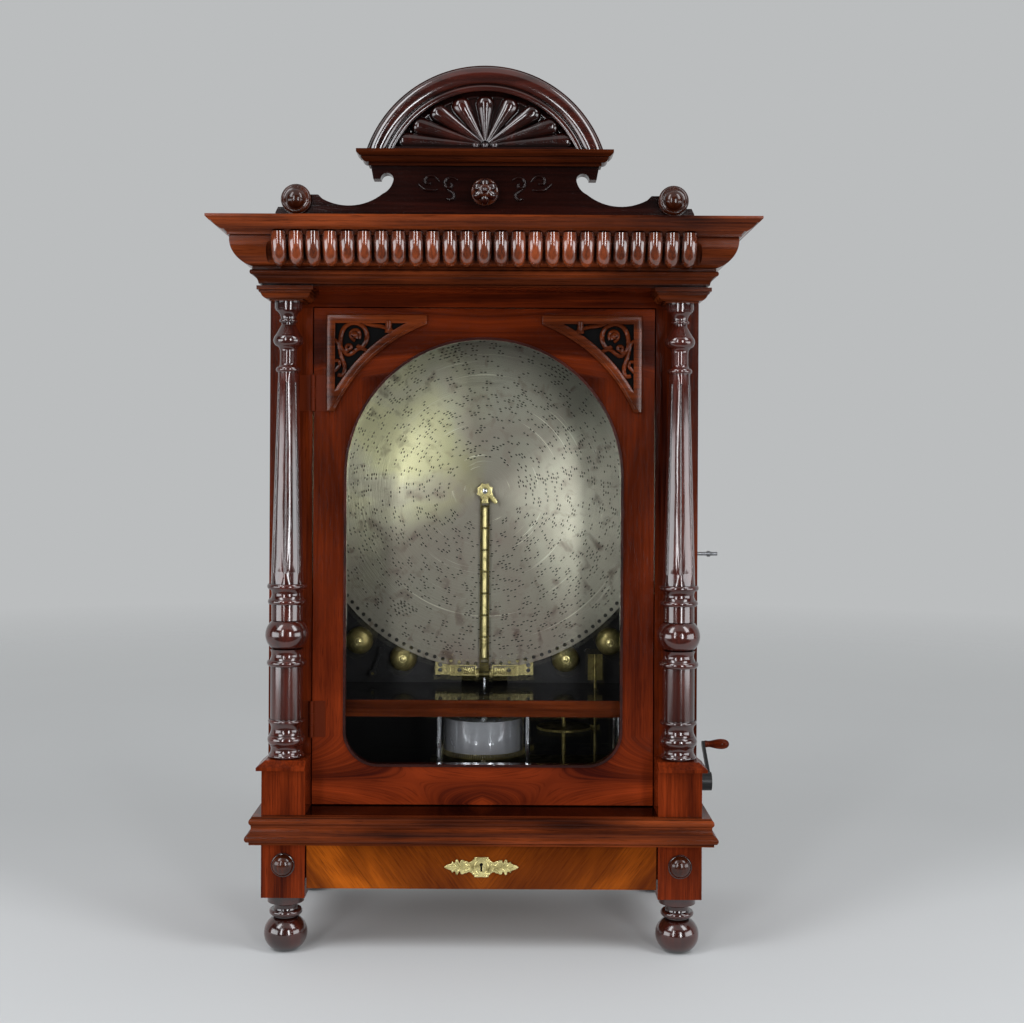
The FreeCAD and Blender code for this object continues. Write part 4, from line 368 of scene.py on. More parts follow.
def disc_metal(name, parts, tin, stain, centre):
    """Tinned steel: fine rings, two fans of painted sheen, brown stains, browner towards the bottom, painted
    shade near the eye, and painted shade round and inside the rim holes.
    """
    finish = Finish(name, parts)
    x, _, z = finish.place.split()
    up = z - centre
    reach = (x * x + up * up) ** 0.5
    turn = up.sum("ARCTAN2", up, x)
    ringed = x.join(reach, turn * 0.007, 0.0)
    rings = ringed.noise((900.0, 260.0, 1.0), 3.0)
    arcs = ringed.noise((240.0, 110.0, 1.0), 2.0).span(0.66, 0.74)
    clouds = finish.place.noise(11.0, 5.0, 0.7)
    blots = finish.place.noise(46.0, 4.0, 0.5)
    # The tin is browner towards the bottom.
    low = (0.06 - up).span(0.0, 0.3)
    # Painted shade: the tin darkens and browns near the eye.
    eye_shade = reach.span(0.05, 0.12, 1.0, 0.0)
    # Painted sheen: two fans of brighter tin, up to the left and to the right of the centre, the left one
    # tinged yellow; elsewhere the tin is painted darker.
    left_fan = (up * 0.42 - x * 0.91) / reach
    right_fan = (x * 0.98 - up * 0.17) / reach
    painted_sheen = left_fan.span(0.55, 0.98) + right_fan.span(0.62, 0.99) * 0.75
    painted_sheen = painted_sheen * reach.span(0.03, 0.14)
    stain_and_shade = clouds.span(0.44, 0.68) * 0.45 + blots.span(0.55, 0.72) * 0.45
    stain_and_shade = (stain_and_shade + low * 0.3 + eye_shade * 0.2).span(0.0, 1.0)
    tint = painted_sheen.blend(dim(tin, 0.31), tin)
    tint = (stain_and_shade * 0.8).blend(tint, stain)
    yellow_sheen = left_fan.span(0.3, 0.9) * clouds.span(0.4, 0.6, 1.0, 0.3)
    tint = (yellow_sheen * 0.8).blend(tint, tint.tinged((0.98, 0.97, 0.66)))
    tint = (arcs * 0.5).blend(tint, tin)
    rust = blots.span(0.57, 0.7) * reach.span(0.07, 0.24) * (0.5 + clouds)
    tint = (rust * 0.7).blend(tint, tuple(c * s for c, s in zip(stain, (0.42, 0.36, 0.28))))
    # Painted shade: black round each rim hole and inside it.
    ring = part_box("tune_disc")[1].x - RIM_MARGIN
    lap = x.sum("ARCTAN2", x, up * -1.0) * (RIM_HOLES / math.tau) + 0.5
    along = (lap.sum("FRACT", lap) - 0.5) * (math.tau * ring / RIM_HOLES)
    rim_hole_shade = (along * along + (reach - ring) * (reach - ring)) ** 0.5 < RIM_SHADE
    tint = rim_hole_shade.blend(tint, (0.006, 0.005, 0.004))
    finish.set(Base_Color=tint, Metallic=0.8 - rim_hole_shade * 0.8, Roughness=0.3 + stain_and_shade * 0.12 + rings * 0.06)
    finish.bump(rings, 0.00042, 1.0)


def black_paint(name, parts, black, shine, level=0.4):
    """Brushed-on paint with a slight ripple."""
    finish = Finish(name, parts, Specular_IOR_Level=level)
    ripple = finish.place.noise(120.0, 3.0)
    dust = finish.place.noise(700.0, 2.0).span(0.56, 0.72)
    finish.set(Base_Color=(dust * 0.25).blend(black, tuple(c * 1.6 + 0.01 for c in black)))
    finish.set(Roughness=shine + ripple * 0.12 + dust * 0.1)
    finish.bump(ripple, 0.0001, 0.4)


def pane_glass(name, parts):
    """Old flat glass, almost clear."""
    finish = Finish(name, parts, Base_Color=(0.9, 0.95, 0.95), Alpha=0.1, IOR=1.45, Transmission_Weight=1.0)
    wave = finish.place.noise(7.0, 2.0)
    finish.set(Roughness=0.02 + wave * 0.03)
    finish.bump(wave, 0.0004, 0.3)


class FinishParts(bpy.types.Operator):
    """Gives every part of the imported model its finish."""

    bl_idname = "musicbox.finish_parts"
    bl_label = "Finish the parts"

    def execute(self, context):
        hue = context.scene.musicbox_finish
        shades = {key: tuple(getattr(hue, key)) for key in FinishSettings.__annotations__}
        polish, moulded, case, veneer, plain = (
            (shades[kind + "_dark"], shades[kind + "_light"])
            for kind in ("polish", "moulding", "case", "veneer", "plain"))
        black, steel = shades["iron_black"], shades["steel_bright"]
        rubbed, dull = shades["brass_bright"], shades["brass_dull"]
        wood(
            "carved_polish", "crest_arch crest_shell spandrels glass_bead",
            toned(polish, 0.7), level=0.8, painted_shade_reach=0.014, coat=0.7)
        wood("tracery_wood", "", toned(moulded, 0.62), level=0.14, painted_shade_reach=0.008)
        wood("fan_polish", "", toned(polish, 0.45), "up", level=0.6, painted_shade_reach=0.016, coat=0.6)
        wood("turned_polish", "bun_feet columns post_rosettes", polish, "up", level=0.8, painted_shade_reach=0.01, coat=0.5)
        wood("lobe_wood", "", toned(moulded, 1.15), "up", level=0.8, painted_shade_reach=0.014, coat=0.9)
        wood("boss_wood", "crest_turnings", toned(moulded, 0.36), "up", shine=0.14, level=0.4, coat=0.35)
        # Painted shade: a darker copy of the moulding wood, for the bed mouldings, capitals and crest shelf.
        wood(
            "painted_shade_moulding", "bed_mouldings capitals crest_shelf",
            toned(moulded, 0.66), "round", level=0.1, painted_shade_reach=0.012)
        wood(
            "moulded_wood", "base_mouldings ovolo_mouldings crown_mouldings",
            moulded, "round", level=0.1, painted_shade_reach=0.012)
        wood("shadow_wood", "crest_board", toned(polish, 0.28), level=0.3, painted_shade_reach=0.014)
        wood("case_upright", "corner_posts column_plinths", case, "up")
        wood("case_level", "drawer_frame cornice_frame case_top", case, "round")
        # Painted light and shade: the door is painted brighter low down and darker towards the top.
        wood(
            "door_veneer", "door_frame",
            case, "stile", figure=(2.2, 11.0), lined=0.22, painted_light_by_height=(0.2, 0.64, 1.9, 0.5))
        wood("plain_wood", "drawer_box", plain, shine=0.5, level=0.2)
        wood("grip_wood", "crank_handle", case, figure=(14.0, 90.0))
        drawer = wood("drawer_veneer", "drawer_front", veneer, "slant", figure=(5.0, 15.0), lined=0.16)
        # Painted shade: the right half of the drawer front is painted darker, as the mirrored veneer catches
        # less light there.
        painted_shade_right = (drawer.place.split()[0] + 0.02).span(-0.06, 0.06) * 0.42
        drawer.set(Base_Color=painted_shade_right.blend(drawer.now("Base Color"), veneer[0]))
        side = wood("side_veneer", "case_sides", case, "up")
        black_inside(side, lambda x, y, z: abs(x) < SIDE_INSIDE, black)
        # Painted light and shade: the front frame is painted darker towards the top.
        stile = wood("stile_veneer", "front_frame", case, "framed", painted_light_by_height=(0.2, 0.86, 0.76, 0.46))
        black_inside(stile, lambda x, y, z: y > FRAME_BACK, black)
        back = wood("back_boards", "back_panel", plain, "up", shine=0.5, level=0.2)
        boards = back.place.split()[0] / BACK_BOARD + 0.5
        joint = boards.sum("FRACT", boards) < 0.016
        back.set(Base_Color=joint.blend(back.now("Base Color"), dim(plain[0], 0.15)))
        black_inside(back, lambda x, y, z: y < BACK_FACE, black)
        deck = wood("deck_wood", "base_board", toned(moulded, 0.06))
        black_inside(deck, lambda x, y, z: (z > DECK_TOP) * (y > DECK_BACK), black)
        shelf = wood("shelf_wood", "mechanism_shelf", toned(moulded, 0.42))
        shelf_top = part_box("mechanism_shelf")[1].z - 0.0006
        on_top = black_inside(shelf, lambda x, y, z: z > shelf_top, black)
        shelf.set(Roughness=on_top.span(0.0, 1.0, 0.16, 0.04))
        metal("bright_brass", "drawer_escutcheon drive_bracket", rubbed, dull, 0.22, 0.4, 90.0, solid=0.72)
        metal("roller_brass", "pressure_rollers", rubbed, dull, 0.3, 0.3, 120.0, solid=0.65)
        metal(
            "dull_brass", "barrel_gear second_wheel third_wheel motor_plates bell_posts fly",
            dull, dim(dull, 0.4), 0.28, 0.6, 70.0)
        metal("dark_brass", "pressure_bar", dim(dull, 0.45), dim(dull, 0.12), 0.35, 0.6, 90.0)
        metal("bell_metal", "bells", dim(dull, 1.05), shades["bell_dull"], 0.36, 0.5, 50.0, solid=0.75)
        metal(
            "turned_steel",
            "steel_combs star_wheels disc_spindle bracket_screws motor_pillars winding_arbor winding_wheel "
            "drive_sprocket shaft_bearings",
            steel, dim(steel, 0.6), 0.1, 0.3, 40.0, dents=0.1)
        metal(
            "drum_steel", "spring_barrel",
            dim(steel, 0.75), dim(steel, 0.5), 0.09, 0.3, 40.0, solid=0.6, dents=0.05)
        metal("dark_steel", "start_rod", dim(steel, 0.45), dim(steel, 0.2), 0.25)
        disc_centre = sum(c.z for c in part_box("tune_disc")) / 2
        disc_metal("disc_tin", "tune_disc", shades["disc_tin"], shades["disc_stain"], disc_centre)
        black_paint(
            "hinge_brown", "hinge_leaves_case hinge_leaves_door",
            dim(shades["case_light"], 0.36), 0.35, 0.06)
        black_paint(
            "japanned_iron", "bedplate crank_shaft crank_arm bell_hammer_right bell_hammer_left",
            black, 0.3)
        # Painted shade: a black for dark plates and sheets that stand for the shade seen through holes and
        # piercings.
        black_paint("hole_shade_black", "", dim(black, 0.4), 0.6, 0.05)
        pane_glass("pane_glass", "door_glass")
        left = sorted(set(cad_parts).difference(*(finish.parts for finish in FINISHES.values())))
        if left:
            raise RuntimeError("no finish is given to " + ", ".join(left))
        return {"FINISHED"}


def dress(piece, finish):
    """Gives a piece one finish alone."""
    piece.data.materials.clear()
    piece.data.materials.append(FINISHES[finish].material)


def clear_hands():
    """Leaves edit mode and lets go of everything."""
    if bpy.context.object and bpy.context.object.mode != "OBJECT":
        bpy.ops.object.mode_set(mode="OBJECT")
    bpy.ops.object.select_all(action="DESELECT")


def take(*pieces):
    """Selects these pieces alone, the first of them active."""
    clear_hands()
    for piece in pieces:
        piece.select_set(True)
    bpy.context.view_layer.objects.active = pieces[0]


def fix_place():
    """Puts the place, turn and scale of what is held into its mesh."""
    bpy.ops.object.transform_apply(location=True, rotation=True, scale=True)


def open_mesh():
    """Opens the held mesh with all of it selected."""
    bpy.ops.object.mode_set(mode="EDIT")
    bpy.ops.mesh.select_all(action="SELECT")


def close_mesh():
    """Goes back from the mesh to the piece."""
    bpy.ops.object.mode_set(mode="OBJECT")


def flat(points, rise=0.0):
    """Points of a flat outline or the rings of a turning, given in millimetres from a height."""
    return [(x / 1000, rise + z / 1000) for x, z in points]


def drawn(points, face, rise=0.0):
    """Points in millimetres from a height, laid on a face that looks forward."""
    return [(x / 1000, face, rise + z / 1000) for x, z in points]


def steps(start, stop, count):
    """Even steps from start to stop."""
    return [start + (stop - start) * i / count for i in range(count + 1)]


def unite(pieces):
    """Joins pieces into the first of them."""
    for piece in pieces:
        take(piece)
        fix_place()
    take(*pieces)
    if len(pieces) > 1:
        bpy.ops.object.join()
    return bpy.context.object


def settle(piece, name, body, finish, angle=40.0):
    """Puts a piece's place in its mesh, turns its faces outwards, and gives it a body and a finish."""
    take(piece)
    fix_place()
    open_mesh()
    bpy.ops.mesh.remove_doubles(threshold=0.000005)
    bpy.ops.mesh.normals_make_consistent(inside=False)
    close_mesh()
    bpy.ops.object.shade_smooth_by_angle(angle=math.radians(angle))
    piece.name = name
    piece.data.name = name
    dress(piece, finish)
    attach(piece, body)
    return piece


def turned(rings, sides, place, turn=(0, 0, 0), scale=(1, 1, 1)):
    """A turning, drawn out from its first circle ring by ring of radius and height, then put in its place."""
    clear_hands()
    radius, height = rings[0]
    bpy.ops.mesh.primitive_circle_add(vertices=sides, radius=radius, fill_type="NGON", location=(0, 0, height))
    piece = bpy.context.object
    open_mesh()
    for wider, higher in rings[1:]:
        bpy.ops.mesh.extrude_region_move(TRANSFORM_OT_translate={"value": (0, 0, higher - height)})
        bpy.ops.transform.resize(value=(wider / radius, wider / radius, 1))
        radius, height = wider, higher
    close_mesh()
    fix_place()
    piece.location, piece.rotation_euler, piece.scale = place, turn, scale
    return piece


def stroke(points, radius, taper=None, sides=2):
    """A carved stroke: a smooth path through the points with a round section, made a mesh."""
    clear_hands()
    bpy.ops.curve.primitive_nurbs_path_add(radius=1)
    path = bpy.context.object
    line = path.data
    spline = line.splines[0]
    spline.points.add(max(0, len(points) - len(spline.points)))
    for i, point in enumerate(spline.points):
        at = points[min(i, len(points) - 1)]
        point.co = (*at, 1)
        point.radius = taper[min(i, len(points) - 1)] if taper else 1.0
    spline.order_u = min(3, len(points))
    spline.use_endpoint_u = True
    spline.resolution_u = 5
    line.bevel_depth = radius
    line.bevel_resolution = sides
    line.use_fill_caps = True
    bpy.ops.object.convert(target="MESH")
    return bpy.context.object


def cut_sheet(outlines, thick, rounding, depth, rounds=2):
    """A flat sheet that looks forward, its middle at a depth, cut to its outlines, with rounded edges."""
    clear_hands()
    bpy.ops.curve.primitive_bezier_circle_add(radius=0.01)
    sheet = bpy.context.object
    shape = sheet.data
    shape.dimensions = "2D"
    shape.fill_mode = "BOTH"
    shape.splines.clear()
    for outline in outlines:
        spline = shape.splines.new("POLY")
        spline.points.add(len(outline) - 1)
        for point, (across, rise) in zip(spline.points, outline):
            point.co = (across, rise, 0, 1)
        spline.use_cyclic_u = True
    shape.extrude = thick / 2 - rounding
    shape.bevel_depth = rounding
    shape.bevel_resolution = rounds
    bpy.ops.object.convert(target="MESH")
    sheet.location, sheet.rotation_euler = (0, depth, 0), FORWARD
    return sheet


def mirrored(piece):
    """A copy of a piece on the other side of the middle."""
    take(piece)
    fix_place()
    bpy.ops.object.duplicate()
    other = bpy.context.object
    other.scale = (-1, 1, 1)
    return other


class CrestBead(bpy.types.Operator):
    """Makes the broad bead and the two thin lines that run round the crest arch."""

    bl_idname = "musicbox.crest_bead"
    bl_label = "Crest bead"

    def execute(self, context):
        sizes = context.scene.musicbox_carving
        low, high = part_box("crest_arch")
        rise = high.z - low.z
        radius = (high.x ** 2 + rise ** 2) / (2 * rise)
        centre = high.z - radius
        rings = []
        for inset, thick, front in ((0.0128, sizes.arch_bead, low.y), (0.0288, sizes.arch_line, low.y),
                                    (0.0365, sizes.arch_fillet, low.y + 0.0135)):
            clear_hands()
            bpy.ops.mesh.primitive_torus_add(
                location=(0, front, centre), rotation=FORWARD, major_radius=radius - inset,
                minor_radius=thick, major_segments=128, minor_segments=20)
            ring = bpy.context.object
            ring.scale = (1, 1, 0.62)
            take(ring)
            fix_place()
            open_mesh()
            bpy.ops.mesh.bisect(
                plane_co=(0, 0, low.z), plane_no=(0, 0, 1), use_fill=True, clear_inner=True)
            close_mesh()
            rings.append(ring)
        settle(unite(rings), "crest_bead", "case", "carved_polish")
        return {"FINISHED"}


class CrestFan(bpy.types.Operator):
    """Carves the fan of nine drop-shaped lobes inside the crest arch, with three pips at its root."""

    bl_idname = "musicbox.crest_fan"
    bl_label = "Crest fan"

    def execute(self, context):
        sizes = context.scene.musicbox_carving
        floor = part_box("crest_shell")[1].y
        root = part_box("crest_arch")[0].z + 0.0085
        reach = ((3.0, 0.1062), (16.4, 0.0895), (34.6, 0.0746), (58.5, 0.0602), (90.0, 0.054))
        lobes = []
        for lean, tip in reach:
            for turn in [lean] if lean == 90.0 else [lean, 180.0 - lean]:
                lobes.append(self.lobe(sizes, tip, turn, floor, root))
        pip = flat([(1.5, -5), (4.8, -3), (5.6, 0), (4.6, 3.2), (1.2, 5.2)])
        for side in (-1, 0, 1):
            lobes.append(turned(pip, 14, (side * 0.0125, floor - 0.002, root - 0.001)))
        fan = settle(unite(lobes), "crest_fan", "case", "fan_polish", 60.0)
        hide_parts("crest_shell")
        return {"FINISHED"}

    def lobe(self, sizes, tip, turn, floor, root):
        """One lobe of the fan, to where its rounded tip starts, leaning by a turn from the level."""
        wide, thin = sizes.lobe_tip, sizes.lobe_root
        rings = [(thin, 0.006)]
        for share in (0.25, 0.5, 0.7, 0.85):
            rings.append((thin + (wide - thin) * share ** 1.15, 0.006 + (tip - 0.006) * share))
        for step in range(6):
            angle = math.radians(step * 17.0)
            rings.append((wide * math.cos(angle), tip + wide * math.sin(angle)))
        lean = (0, math.radians(90.0 - turn), 0)
        return turned(rings, 20, (0, floor - 0.0005, root), lean, (1, 0.95, 1))


class CrestFlower(bpy.types.Operator):
    """Lays the petals of the crest flower over its turned boss, and the low scrolls beside it."""

    bl_idname = "musicbox.crest_flower"
    bl_label = "Crest flower"

    def execute(self, context):
        sizes = context.scene.musicbox_carving
        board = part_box("crest_board")[0].y
        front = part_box("crest_turnings")[0].y
        petals = []
        drop = flat([(1.2, 1.5), (4.2, 6), (5.8, 11), (5.4, 14.5), (3.4, 17.2), (1, 18.4)])
        lean = Matrix.Rotation(math.radians(-24), 3, "X")
        for i in range(6):
            turn = (Matrix.Rotation(math.radians(60 * i), 3, "Y") @ lean).to_euler()
            petals.append(turned(drop, 14, (0, front + 0.0045, FLOWER_RISE), turn, (1, 0.75, 1)))
        eye = flat([(1, -4), (3.4, -2.5), (4.2, 0), (3.4, 2.6), (1, 4)])
        petals.append(turned(eye, 14, (0, front + 0.0015, FLOWER_RISE)))
        settle(unite(petals), "crest_flower", "case", "fan_polish", 60.0)
        strokes = [
            [(-36, 1012), (-43, 1017), (-52, 1013), (-53, 1004), (-46, 1001), (-42, 1005), (-45, 1008)],
            [(-50, 1000), (-43, 997), (-39, 991), (-44, 985), (-50, 988)],
            [(-60, 1010), (-65, 1017), (-74, 1018), (-80, 1012), (-76, 1006), (-70, 1008)],
            [(-62, 1000), (-70, 998), (-80, 1000), (-87, 1007)],
        ]
        carved = []
        for points in strokes:
            taper = [0.55] + [1.15] * (len(points) - 2) + [0.7]
            piece = stroke(drawn(points, board), sizes.relief, taper)
            carved += [piece, mirrored(piece)]
        settle(unite(carved), "crest_scrolls", "case", "shadow_wood", 60.0)
        return {"FINISHED"}


class SpandrelTracery(bpy.types.Operator):
    """Makes the pierced corner pieces of the door: a moulded frame with scrolls in its opening."""

    bl_idname = "musicbox.spandrel_tracery"
    bl_label = "Spandrel tracery"

    def execute(self, context):
        sizes = context.scene.musicbox_carving
        low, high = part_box("spandrels")
        arc, inner = SPANDREL_ARC, SPANDREL_INNER
        foot, top, outer = low.z, high.z, high.x
        strip, rim = 0.009, 0.0105
        end_top = math.sqrt(arc ** 2 - inner ** 2)
        start, stop = math.atan2(end_top, inner), math.asin((foot - SPANDREL_SPRING) / arc)
        outline = [(inner, top)] + self.bow(arc, start, stop, 28) + [(outer, foot), (outer, top)]
        wide = arc + rim
        hole_top, hole_side = top - strip, outer - strip
        start, stop = math.asin((hole_top - SPANDREL_SPRING) / wide), math.acos(hole_side / wide)
        opening = [(hole_side, hole_top)] + self.bow(wide, start, stop, 28)
        pieces = [cut_sheet([outline, opening], high.y - low.y, 0.0012, (low.y + high.y) / 2)]
        face = low.y + 0.0012
        beads = ((0.2212, 1.195, 0.425, 0.0017), (wide - 0.0015, start + 0.02, stop - 0.02, 0.0011))
        for reach, first, last, radius in beads:
            pieces.append(stroke([(x, face, z) for x, z in self.bow(reach, first, last, 18)], radius))
        deep = low.y + 0.003
        curls = [
            ([(18, 37), (14.5, 41), (8.5, 34.5), (7.5, 22), (12, 6.5), (25, -0.5), (39.5, 5),
              (44.5, 18), (41, 30), (35, 34.5), (30.5, 31)], 1),
            ([(18, 37), (23, 35.5), (22.5, 30.5), (17.5, 30), (14.5, 34), (17.5, 37)], 0.75),
            ([(33, 22), (35, 14), (28.5, 9), (21.5, 13), (22, 21), (28, 24.5)], 0.85),
            ([(28.5, 21.5), (29.5, 17.5), (26, 15), (24.5, 18)], 1.3),
            ([(9, 33), (14, 43), (21, 44), (30, 36), (38, 34), (46, 40)], 0.85),
            ([(0, 23.8), (6, 26), (8.6, 44.7), (15, 60), (12, 73), (5, 70)], 0.95),
            ([(-0.5, 52), (6, 50), (8, 57), (4, 62), (-0.5, 66)], 0.8),
            ([(38, 0), (44, 2.9), (56, 4), (68.4, 6.7), (78, 12)], 0.9),
            ([(72.2, -1.5), (72.2, 14)], 1.5),
        ]
        for points, share in curls:
            line = [(hole_side - x / 1000, deep, hole_top - z / 1000) for x, z in points]
            pieces.append(stroke(line, sizes.scroll_wire * share))
        right = unite(pieces)
        both = unite([right, mirrored(right)])
        settle(both, "spandrel_tracery", "door", "tracery_wood", 45.0)
        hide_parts("spandrels")
        # Painted shade: dark sheets behind the piercings of the tracery.
        shade_sheets = [
            cut_sheet([[(side * x, z) for x, z in opening]], 0.0008, 0.0002, high.y - 0.0005, 1)
            for side in (1, -1)]
        settle(unite(shade_sheets), "spandrel_shade_sheet", "door", "hole_shade_black")
        return {"FINISHED"}

    def bow(self, reach, start, stop, count):
        """Points along an arc about the spring of the door's arch."""
        turns = steps(start, stop, count)
        return [(reach * math.cos(a), SPANDREL_SPRING + reach * math.sin(a)) for a in turns]


class Knobs(bpy.types.Operator):
    """Turns the domes of the crest bosses and of the rosettes on the corner posts."""

    bl_idname = "musicbox.knobs"
    bl_label = "Knobs"

    def execute(self, context):
        domes = []
        for node, radius, deep in (("crest_turnings", 0.0128, 0.0085), ("post_rosettes", 0.0142, 0.0095)):
            outer = [v.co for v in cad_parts[node].data.vertices if v.co.x > 0.2]
            front = min(c.y for c in outer)
            across = (min(c.x for c in outer) + max(c.x for c in outer)) / 2
            rise = (min(c.z for c in outer) + max(c.z for c in outer)) / 2
            angles = [math.radians(step * 12.5) for step in range(8)]
            rings = [(radius * math.cos(angle), (deep + 0.001) * math.sin(angle)) for angle in angles]
            domes += [turned(rings, 32, (side * across, front + deep, rise), FORWARD) for side in (-1, 1)]
        settle(unite(domes), "knobs", "case", "boss_wood", 60.0)
        return {"FINISHED"}


class Gadroons(bpy.types.Operator):
    """Carves the row of rounded lobes on the front of the ovolo, one between each two hollows."""

    bl_idname = "musicbox.gadroons"
    bl_label = "Gadroons"

    def execute(self, context):
        sizes = context.scene.musicbox_carving
        low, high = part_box("ovolo_mouldings")
        rise, out, proud = high.z - low.z, 0.025, 0.0064
        spine = []
        for turn in (10, 24, 38, 52, 66, 79, 92):
            angle = math.radians(turn)
            way = Vector((0, -math.sin(angle) / out, -math.cos(angle) / rise)).normalized()
            face = Vector((0, low.y + out * (1 - math.sin(angle)), low.z + rise * (1 - math.cos(angle))))
            spine.append(face - way * (sizes.lobe_swell - proud))
        lobe = stroke(spine, sizes.lobe_swell, [0.62, 0.92, 1.0, 1.03, 1.04, 1.04, 1.0], 4)
        places = [(i - (GADROONS - 1) / 2) * GADROON_PITCH for i in range(GADROONS)]
        lobe.location.x = places[0]
        copies = [lobe]
        for at in places[1:]:
            take(lobe)
            bpy.ops.object.duplicate()
            bpy.context.object.location.x = at
            copies.append(bpy.context.object)
        settle(unite(copies), "gadroons", "case", "lobe_wood", 60.0)
        return {"FINISHED"}


class KeyholePlate(bpy.types.Operator):
    """Makes the leafy keyhole plate of the drawer with its relief and its keyhole."""

    bl_idname = "musicbox.keyhole_plate"
    bl_label = "Keyhole plate"

    def execute(self, context):
        low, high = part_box("drawer_escutcheon")
        middle = (low.z + high.z) / 2
        quarter = [
            (0, 12), (4, 12.4), (8.6, 12.2), (8.2, 10.6), (10.6, 9.2), (12, 7.4), (14.2, 6), (17, 5.4),
            (19, 7), (21.8, 7.4), (24, 8.6), (26.2, 8.4), (27.2, 5.2), (28.8, 4.6), (31.4, 9.4), (32.6, 8.8),
            (33.2, 5.2), (35, 4.8), (37.8, 6.2), (38.6, 4), (41, 3), (44, 2.2), (47.4, 0.2)]
        half = quarter + [(x, -z) for x, z in reversed(quarter)]
        outline = half + [(-x, z) for x, z in reversed(half)][1:-1]
        turns = steps(math.radians(-138), math.radians(138), 14)
        keyhole = [(3.0 * math.sin(a), 3.2 + 3.0 * math.cos(a)) for a in turns]
        keyhole += [(2.0, -6.2), (-2.0, -6.2)]
        outlines = [flat(outline, middle), flat(keyhole, middle)]
        pieces = [cut_sheet(outlines, high.y - low.y, 0.0007, (low.y + high.y) / 2)]
        face = low.y + 0.0004
        leaf = [
            [(16, 0.5), (24, 1.0), (34, 0.6), (45, 0.0)],
            [(18, 2.2), (22, 4.8), (24.5, 7.4)],
            [(27, 1.5), (29.5, 4.0), (31.2, 8.4)],
            [(33, 1.2), (35.5, 3.2), (37.4, 5.4)],
            [(12.5, 2.5), (13.8, 4.4), (16.5, 3.6), (15.6, 1.4), (13.2, 0.6)],
            [(3.0, 11.2), (6.0, 11.3), (8.2, 11.4)],
            [(6.2, 9.4), (9.4, 8.0), (11.4, 5.6)],
        ]
        for points in leaf:
            for rise in (1, -1):
                line = drawn([(x, rise * z) for x, z in points], face, middle)
                taper = [1.1] + [1.0] * (len(line) - 2) + [0.45]
                rib = stroke(line, 0.001, taper)
                pieces += [rib, mirrored(rib)]
        drops = (
            (10.4, 8.6, 1.3), (21.6, 6.6, 1.1), (31.2, 8.6, 1.0), (45.6, 0.0, 1.1), (10.6, 0.0, 1.4),
            (37.2, 5.2, 0.8))
        ball = ((0.0003, -0.001), (0.0008, -0.0006), (0.001, 0.0), (0.0008, 0.0006), (0.0003, 0.001))
        for x, z, swell in drops:
            rings = [(swell * radius, swell * height) for radius, height in ball]
            for rise in ((1, -1) if z else (1,)):
                for side in (1, -1):
                    pieces.append(turned(rings, 10, (side * x / 1000, face, middle + rise * z / 1000)))
        for side in (1, -1):
            moon = [(side * x, z) for x, z in ((4.2, 7.8), (8.2, 5.0), (8.8, -1.0), (7.6, -5.8), (3.4, -8.6))]
            pieces.append(stroke(drawn(moon, face, middle), 0.0016, [0.3, 1.0, 1.25, 1.0, 0.3]))
        plate = settle(unite(pieces), "keyhole_plate", "drawer", "bright_brass", 50.0)
        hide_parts("drawer_escutcheon")
        # Painted shade: a dark sheet set back in the keyhole.
        hole = [(x / 1000 * 1.1, middle + z / 1000 * 1.05) for x, z in keyhole]
        dark = cut_sheet([hole], 0.001, 0.0001, high.y - 0.0006, 1)
        settle(dark, "keyhole_shade_sheet", "drawer", "hole_shade_black")
        return {"FINISHED"}


